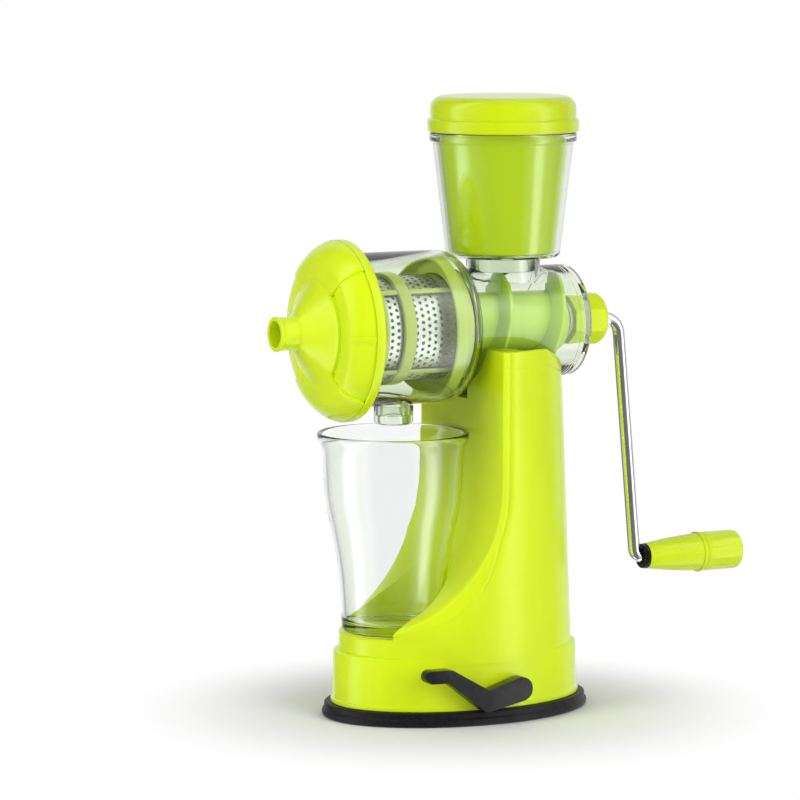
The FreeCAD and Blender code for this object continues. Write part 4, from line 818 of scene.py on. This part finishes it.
class JUICER_OT_cover(Operator):
    """Turns the screw cover and raises its two lobes and two small grip ribs"""
    bl_idname = "juicer.cover"
    bl_label = "Front cover"

    def execute(self, context):
        band = bulge((-0.0730, 0.0476), (-0.0842, 0.0390), 0.017)
        shape = turned([
            (-0.0676, 0.0424), (-0.0787, 0.0424), (-0.0787, 0.0390), (-0.0816, 0.0364),
            (-0.0818, 0.0292), (-0.0838, 0.0266), (-0.0973, 0.0071), (-0.1104, 0.0071, 0.0003, 2),
            (-0.1104, 0.0095, 0.0005, 3), (-0.1086, 0.0095, 0.0004, 2), (-0.1079, 0.0090),
            (-0.0986, 0.0090, 0.0012, 4), (-0.0868, 0.0272, 0.0012, 4), (-0.0864, 0.0286),
            (-0.0844, 0.0288, 0.0004, 2), (-0.0844, 0.0292), (-0.0852, 0.0310), (-0.0842, 0.0390),
            (*band, 12), (-0.0730, 0.0476),
            (-0.0722, 0.0478), (-0.0722, 0.0484), (-0.0730, 0.0487, 0.0003, 2),
            (-0.0730, 0.0497, 0.0006, 4),
            (-0.0676, 0.0497, 0.0012, 4)], steps=160)
        height = 0.0017
        top = bulge((-0.0734, 0.0476 + height), (-0.0849, 0.0397), 0.0175)
        for middle in (0, 180):
            lobe = turned([
                (-0.0734, 0.0440), (-0.0800, 0.0360), (-0.0831, 0.0292), (-0.0864, 0.0286),
                (-0.0870, 0.0300, 0.0012, 4), (-0.0849, 0.0397),
                (*top, 10), (-0.0734, 0.0476 + height, 0.0006, 3)],
                steps=40, angle=radians(86), start=radians(middle - 43))
            soften(lobe, 0.0006, 55, 3)
            shape = joined(shape, lobe)
        ridge = bulge((-0.0732, 0.0485), (-0.0846, 0.0394), 0.0172)
        for middle in (90, 270):
            rib = turned([
                (-0.0732, 0.0440), (-0.0800, 0.0370), (-0.0846, 0.0394),
                (*ridge, 10), (-0.0732, 0.0485)],
                steps=4, angle=radians(4), start=radians(middle - 2))
            shape = joined(shape, rib)
        finished("cover_moulding", shape, "cover", "lime", ["front_cover"], sharp=30)
        return {"FINISHED"}


# ---- auger and crank

class JUICER_OT_auger(Operator):
    """Turns the auger's core and winds its left-handed flight round it"""
    bl_idname = "juicer.auger"
    bl_label = "Auger"

    def execute(self, context):
        s = context.scene.juicer_auger
        nose = bulge((-0.074, 0.006), (-0.052, s.front), 0.0286)
        core = turned([
            (-0.074, 0), (-0.074, 0.006), (*nose, 10), (-0.052, s.front),
            (0.0, s.core, 0.006, 4), (0.0627, s.core, 0.0006, 3), (0.0627, 0.00505),
            (0.024, 0.00505), (0.024, 0)], closed=False, steps=96)
        start, end = -0.055, 0.0602
        turns = (end - start) / s.pitch
        steps = int(turns * 48)
        flight = bmesh.new()
        root = s.core - 0.0015
        corners = [(-0.0025, root), (-0.0019, 0.0215), (-0.0013, s.flight - 0.0006),
                   (-0.0008, s.flight), (0.0008, s.flight), (0.0013, s.flight - 0.0006),
                   (0.0019, 0.0215), (0.0025, root)]
        flight.faces.new([flight.verts.new((start + x, 0, z)) for x, z in corners])
        rolled(flight, radians(175))
        bmesh.ops.spin(flight, geom=everything(flight), cent=(0, 0, 0), axis=(1, 0, 0),
                       dvec=((end - start) / steps, 0, 0), angle=-FULL_TURN * turns,
                       steps=steps, use_duplicate=False)
        shape = joined(core, outward(moved(flight, AXIS)))
        finished("auger_moulding", shape, "crank", "auger", ["auger"], sharp=35)
        return {"FINISHED"}


def flattened(form, flats, limit, start, end, level):
    """Presses flats into a form turned about the height level, between two places along X."""
    share = FULL_TURN / flats
    for vert in form.verts:
        radius = hypot(vert.co.y, vert.co.z - level)
        if not start <= vert.co.x <= end or radius < limit * 0.5:
            continue
        turn = atan2(vert.co.z - level, vert.co.y) % share - share / 2
        allowed = limit / cos(share / 2 - abs(turn))
        if radius > allowed:
            vert.co.y *= allowed / radius
            vert.co.z = level + (vert.co.z - level) * allowed / radius


class JUICER_OT_crank(Operator):
    """Makes the knob with its flats, the bent rod and the turning grip"""
    bl_idname = "juicer.crank"
    bl_label = "Crank"

    def execute(self, context):
        s = context.scene.juicer_crank
        round_end = bulge((0.0851, s.knob), (0.0907, 0.0116), 0.00644)
        knob = turned([
            (0.0713, 0.0050), (0.0713, s.knob, 0.0008, 3), (0.0851, s.knob),
            (*round_end, 8), (0.0907, 0.0116),
            (0.0907, 0.0036, 0.0004, 2), (0.082, 0.0036), (0.082, 0.0050)], steps=160)
        flattened(knob, 8, s.flat, 0.0713, 0.0907, AXIS.z)
        finished("knob_moulding", knob, "crank", "lime", ["drive_knob"], sharp=24)

        start, bend_x, pin_end = 0.082, 0.103, 0.160
        top_bend, low_bend = 0.010, 0.005
        bar = bmesh.new()
        bmesh.ops.create_circle(bar, cap_ends=True, segments=32, radius=s.rod)
        moved(rolled(bar, pi / 2, "Y"), along_axis(start))
        lean = Vector((0.0121, 0, -s.reach))
        way = lean.normalized()
        turn = acos(way.x)
        reach = tan(turn / 2)
        top, low = top_bend * reach, low_bend * reach

        def straight(face, run):
            grown = bmesh.ops.extrude_face_region(bar, geom=[face])["geom"]
            bmesh.ops.delete(bar, geom=[face], context="FACES_ONLY")
            bmesh.ops.translate(bar, verts=verts_in(grown), vec=run)
            return faces_in(grown)[0]

        def bend(face, centre, angle, steps):
            made = bmesh.ops.spin(bar, geom=[face], cent=centre, axis=(0, 1, 0), dvec=(0, 0, 0),
                                  angle=angle, steps=steps, use_duplicate=False)["geom_last"]
            return faces_in(made)[0]

        bar.faces.ensure_lookup_table()
        face = bar.faces[0]
        corner = along_axis(bend_x)
        face = straight(face, Vector((bend_x - top - start, 0, 0)))
        face = bend(face, corner + Vector((-top, 0, -top_bend)), turn, 14)
        corner_low = corner + lean
        face = straight(face, corner_low - way * low - (corner + way * top))
        face = bend(face, corner_low + Vector((low, 0, low_bend)), -turn, 12)
        straight(face, Vector((pin_end - 0.1151 - low, 0, 0)))
        outward(merged(bar, 1e-6))
        finished("rod_chromed", bar, "crank", "chrome", ["crank_rod"], sharp=40)

        pin = along_axis(0, -s.reach)
        bush = turned([
            (0.1205, 0.00356), (0.119, 0.0050, 0.0004, 2), (0.119, 0.0069, 0.0008, 3),
            (0.122, 0.0072), (0.122, 0.0057), (0.125, 0.0057), (0.125, 0.00356)], centre=pin,
            steps=64)
        finished("grip_bush_moulding", bush, "grip", "black", ["grip_bush"])
        sleeve = turned([
            (0.12505, 0.00356), (0.12505, 0.00575), (0.122, 0.00575), (0.122, 0.0072, 0.0005, 3),
            (0.138, 0.0094, 0.006, 4), (0.1551, 0.0107), (0.1551, 0.0114, 0.0004, 2),
            (0.1575, 0.0114, 0.0004, 2), (0.1575, 0.0084), (0.154, 0.0084), (0.154, 0.00356)],
            centre=pin, steps=96)
        finished("grip_sleeve_moulding", sleeve, "grip", "lime", ["grip_sleeve"], sharp=28)
        cap = turned([
            (0.1556, 0.0066), (0.1556, 0.00835), (0.1575, 0.00835), (0.1575, 0.0108, 0.0005, 2),
            (0.160, 0.0111, 0.0006, 2), (0.1815, 0.0111, 0.0025, 6), (0.1815, 0.0),
            (0.1609, 0.0), (0.1609, 0.0066)], centre=pin, steps=144, closed=False)
        flattened(cap, 12, 0.01065, 0.1601, 0.1816, pin.z)
        finished("grip_cap_moulding", cap, "grip", "lime", ["grip_cap"], sharp=24)
        return {"FINISHED"}


# ---- feed and glass

class JUICER_OT_feed(Operator):
    """Turns the clear hopper, the pusher and the pusher's cap"""
    bl_idname = "juicer.feed"
    bl_label = "Hopper and pusher"

    def execute(self, context):
        s = context.scene.juicer_feed
        centre = along_axis(HOPPER_X, 0.037)
        foot, top, wall, height = s.foot, s.top, s.wall, s.height
        cup = upright([
            (0.0155, -0.008, 0.0004, 2), (0.0179, -0.008, 0.0006, 2), (0.0179, 0, 0.0005, 2),
            (foot, 0, 0.0022, 5), (top, height - 0.0056, 0.0004, 2),
            (top + 0.0017, height - 0.0048, 0.0006, 3), (top + 0.0017, height, 0.0010, 4),
            (top - wall, height, 0.0006, 3), (foot - wall, 0.0015, 0.0018, 4), (0.0155, 0.0015)],
            centre, closed=True)
        finished("hopper_moulding", cup, "hopper", "clear", ["hopper"])
        low = centre + Vector((0, 0, 0.0018))
        rise = height - 0.0018
        plunger = upright([
            (0, 0), (0.0285, 0, 0.0025, 6), (0.0359, rise, 0.0006, 2), (0.0337, rise, 0.0006, 2),
            (0.0263, 0.0033, 0.0015, 3), (0, 0.0033)], low)
        # painted shade: the pusher body wears the darker copy of the lime
        finished("pusher_moulding", plunger, "pusher", "plunger", ["pusher_body"])
        cap = upright([
            (0.0334, 0), (0.0418, 0, 0.0011, 4), (0.0418, 0.0072, 0.0012, 4),
            (0.0400, 0.0072, 0.0005, 3), (0.0403, 0.0082, 0.0004, 2),
            (0.0403, 0.0195, 0.0066, 10), (0.015, 0.0200, 0.004, 4), (0, 0.0202), (0, 0.0171),
            (0.0337, 0.0171), (0.0379, 0.0129), (0.0379, 0.0024), (0.0310, 0.0024),
            (0.0310, -0.005), (0.03286, -0.005)],
            centre + Vector((0, 0, height + 0.0003)), 160)
        # painted shade: the pusher's cap also wears the darker copy of the lime
        finished("cap_moulding", cap, "pusher", "plunger", ["pusher_cap"])
        return {"FINISHED"}


class JUICER_OT_tumbler(Operator):
    """Turns the flared glass tumbler with its thick base and beaded rim"""
    bl_idname = "juicer.tumbler"
    bl_label = "Glass"

    def execute(self, context):
        side = [(0.0285, 0.0240, 0.014, 8), (0.0330, 0.0520, 0.008, 6),
                (0.0368, 0.0680, 0.010, 8), (0.0380, 0.0800, 0.006, 4),
                (0.0388, 0.1010, 0.003, 3)]
        inner = [(reach - 0.0022, *rest) for reach, *rest in reversed(side)]
        glass = upright([
            (0, 0.0008), (0.022, 0.0008, 0.001, 2), (0.024, 0, 0.001, 2), (0.0285, 0, 0.0022, 5),
            *side, (0.0418, 0.1067, 0.0012, 3), (0.0418, 0.1097, 0.0011, 5),
            (0.0396, 0.1097, 0.0010, 5), *inner, (0.0263, 0.0050, 0.003, 5), (0, 0.0050)],
            (GLASS_X, 0, 0.0473))
        finished("tumbler_glass_piece", glass, "glass", "glass", ["glass_tumbler"])
        return {"FINISHED"}


class JUICER_OT_fittings(Operator):
    """Gives the small fittings of the frame their own finishes"""
    bl_idname = "juicer.fittings"
    bl_label = "Small fittings"

    def execute(self, context):
        wears = {"base_plate": "dark", "base_screws": "steel", "pad_stem": "steel",
                 "lever_axle": "steel", "rear_bush": "white", "shaft_seal": "seal",
                 "cover_seal": "seal", "drive_shaft": "steel", "grip_retainer": "steel"}
        for fitting, finish in wears.items():
            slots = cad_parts[fitting].data.materials
            slots.clear()
            slots.append(FINISHES[finish])
        return {"FINISHED"}


# ---- stage

FLOOR_FADE = (0.065, 0.19)
MIRROR_END, MIRROR_STRENGTH = 0.3, 3.0
MIRROR_BANDS = ((0.06, 0.12), (0.12, 0.06), (0.27, 0.07), (0.325, 0.3), (0.345, 1.0),
                (0.375, 1.0), (0.40, 0.3), (0.48, 0.12), (0.54, 0.32), (0.74, 0.32),
                (0.79, 0.08), (0.90, 0.10), (0.935, 0.9), (0.965, 0.9))
LAMP_TARGET = (0.01, 0.0, 0.17)
CAMERA_PLACE, CAMERA_TARGET = (-1.1337, -2.1213, 0.4563), (-0.0269, 0.0144, 0.1724)


def reckoned(tree, operation, first, second):
    """The result of a Math node."""
    return node(tree, "Math", {0: first, 1: second}, operation=operation).outputs["Value"]


def ray_kinds(tree):
    """Whether a ray looks straight at the surroundings or through glass, or off a mirror."""
    path = node(tree, "LightPath").outputs
    return (reckoned(tree, "MAXIMUM", path["Is Camera Ray"], path["Is Transmission Ray"]),
            reckoned(tree, "GREATER_THAN", path["Glossy Depth"], 0.5))


def white_floor():
    """A pale floor whose shadow fades out to white; mirrors look past it."""
    made, tree, shader = blank("floor_white")
    wire(tree, shader, {"Base Color": (0.93, 0.93, 0.93, 1), "Roughness": 0.9})
    distance = node(tree, "VectorMath", {0: node(tree, "TexCoord").outputs["Object"]},
                    operation="LENGTH").outputs["Value"]
    fade = node(tree, "MapRange", {"Value": distance, "From Min": FLOOR_FADE[0],
                                   "From Max": FLOOR_FADE[1]}, interpolation_type="SMOOTHSTEP")
    looking, mirrored = ray_kinds(tree)
    share = reckoned(tree, "MULTIPLY", fade.outputs["Result"], looking)
    shown = mixed(tree, share, shader.outputs["BSDF"],
                  node(tree, "Emission").outputs["Emission"])
    shown = mixed(tree, mirrored, shown, node(tree, "BsdfTransparent").outputs["BSDF"])
    wire(tree, tree.nodes["Material Output"], {"Surface": shown})
    return made


def studio(strength):
    """Even light all round, white behind the object, and light and dark bands in mirrors."""
    world = bpy.data.worlds.new("studio")
    world.use_nodes = True
    tree = world.node_tree
    parts = node(tree, "SeparateXYZ", {"Vector": node(tree, "TexCoord").outputs["Generated"]})
    turn = reckoned(tree, "ARCTAN2", parts.outputs["Y"], parts.outputs["X"])
    way = node(tree, "MapRange", {"Value": turn, "From Min": -pi, "From Max": pi})
    bands = node(tree, "ValToRGB", {"Fac": way.outputs["Result"]})
    marks = bands.color_ramp.elements
    marks[0].color = marks[1].color = (MIRROR_END, MIRROR_END, MIRROR_END, 1)
    for position, level in MIRROR_BANDS:
        marks.new(position).color = (level, level, level, 1)
    mirror = node(tree, "Background", {"Color": bands.outputs["Color"],
                                       "Strength": MIRROR_STRENGTH})
    plain = node(tree, "Background", {"Color": (1, 1, 1, 1)})
    lit = tree.nodes["Background"]
    wire(tree, lit, {"Color": (1, 1, 1, 1), "Strength": strength})
    looking, mirrored = ray_kinds(tree)
    shown = mixed(tree, looking, lit.outputs["Background"], plain.outputs["Background"])
    shown = mixed(tree, mirrored, shown, mirror.outputs["Background"])
    wire(tree, tree.nodes["World Output"], {"Surface": shown})
    return world


def aimed(name, data, place, target):
    """Puts a lamp or the camera at its place, turned to its target."""
    thing = bpy.data.objects.new(name, data)
    thing.location = place
    thing.rotation_euler = (Vector(target) - thing.location).to_track_quat("-Z", "Y").to_euler()
    bpy.context.scene.collection.objects.link(thing)
    return thing


class JUICER_OT_stage(Operator):
    """Sets the floor, the pale surroundings, the lamps and the camera"""
    bl_idname = "juicer.stage"
    bl_label = "Stage"

    def execute(self, context):
        s = context.scene.juicer_stage
        form = bmesh.new()
        bmesh.ops.create_circle(form, cap_ends=True, segments=96, radius=4.0)
        floor = object_of("floor", form)
        floor.data.materials.append(white_floor())
        context.scene.world = studio(s.sky)

        for name, place, power, width, height in (
                ("key", (0.46, -2.0, 0.99), s.key, 1.2, 1.8),
                ("fill", (-2.01, -0.35, 0.99), s.fill, 0.9, 1.4)):
            lamp = bpy.data.lights.new(name, "AREA")
            lamp.shape = "RECTANGLE"
            lamp.size, lamp.size_y = width, height
            lamp.energy = power
            thing = aimed(name, lamp, place, LAMP_TARGET)
            thing.visible_glossy = thing.visible_transmission = False

        camera = bpy.data.cameras.new("camera")
        camera.lens = s.lens
        camera.sensor_width = 36.0
        camera.clip_end = 50
        context.scene.camera = aimed("camera", camera, CAMERA_PLACE, CAMERA_TARGET)
        context.scene.view_settings.view_transform = "Standard"
        return {"FINISHED"}


# ---- panel and run

SETTINGS = {"juicer_colours": JuicerColours, "juicer_stand": StandSizes,
            "juicer_chamber": ChamberSizes, "juicer_strainer": StrainerSizes,
            "juicer_auger": AugerSizes, "juicer_crank": CrankSizes, "juicer_feed": FeedSizes,
            "juicer_stage": StageSettings}
STEPS = (JUICER_OT_finishes, JUICER_OT_stand, JUICER_OT_foot, JUICER_OT_lever,
         JUICER_OT_chamber, JUICER_OT_sleeve, JUICER_OT_strainer, JUICER_OT_cover,
         JUICER_OT_auger, JUICER_OT_crank, JUICER_OT_feed, JUICER_OT_tumbler,
         JUICER_OT_fittings, JUICER_OT_stage)


class JUICER_PT_pieces(Panel):
    """Lists the settings and the steps of the juicer"""
    bl_idname = "JUICER_PT_pieces"
    bl_label = "Juicer"
    bl_space_type = "VIEW_3D"
    bl_region_type = "UI"
    bl_category = "Juicer"

    def draw(self, context):
        for name in SETTINGS:
            group = getattr(context.scene, name)
            box = self.layout.box()
            box.label(text=group.bl_rna.name)
            for field in group.__annotations__:
                box.prop(group, field)
        for step in STEPS:
            self.layout.operator(step.bl_idname)


CLASSES = (*SETTINGS.values(), *STEPS, JUICER_PT_pieces)


def register():
    for kind in CLASSES:
        bpy.utils.register_class(kind)
    for name, group in SETTINGS.items():
        setattr(bpy.types.Scene, name, PointerProperty(type=group))


def unregister():
    for name in SETTINGS:
        delattr(bpy.types.Scene, name)
    for kind in reversed(CLASSES):
        bpy.utils.unregister_class(kind)


def main():
    register()
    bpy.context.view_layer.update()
    for step in STEPS:
        group, name = step.bl_idname.split(".")
        getattr(getattr(bpy.ops, group), name)()


if __name__ == "__main__":
    main()
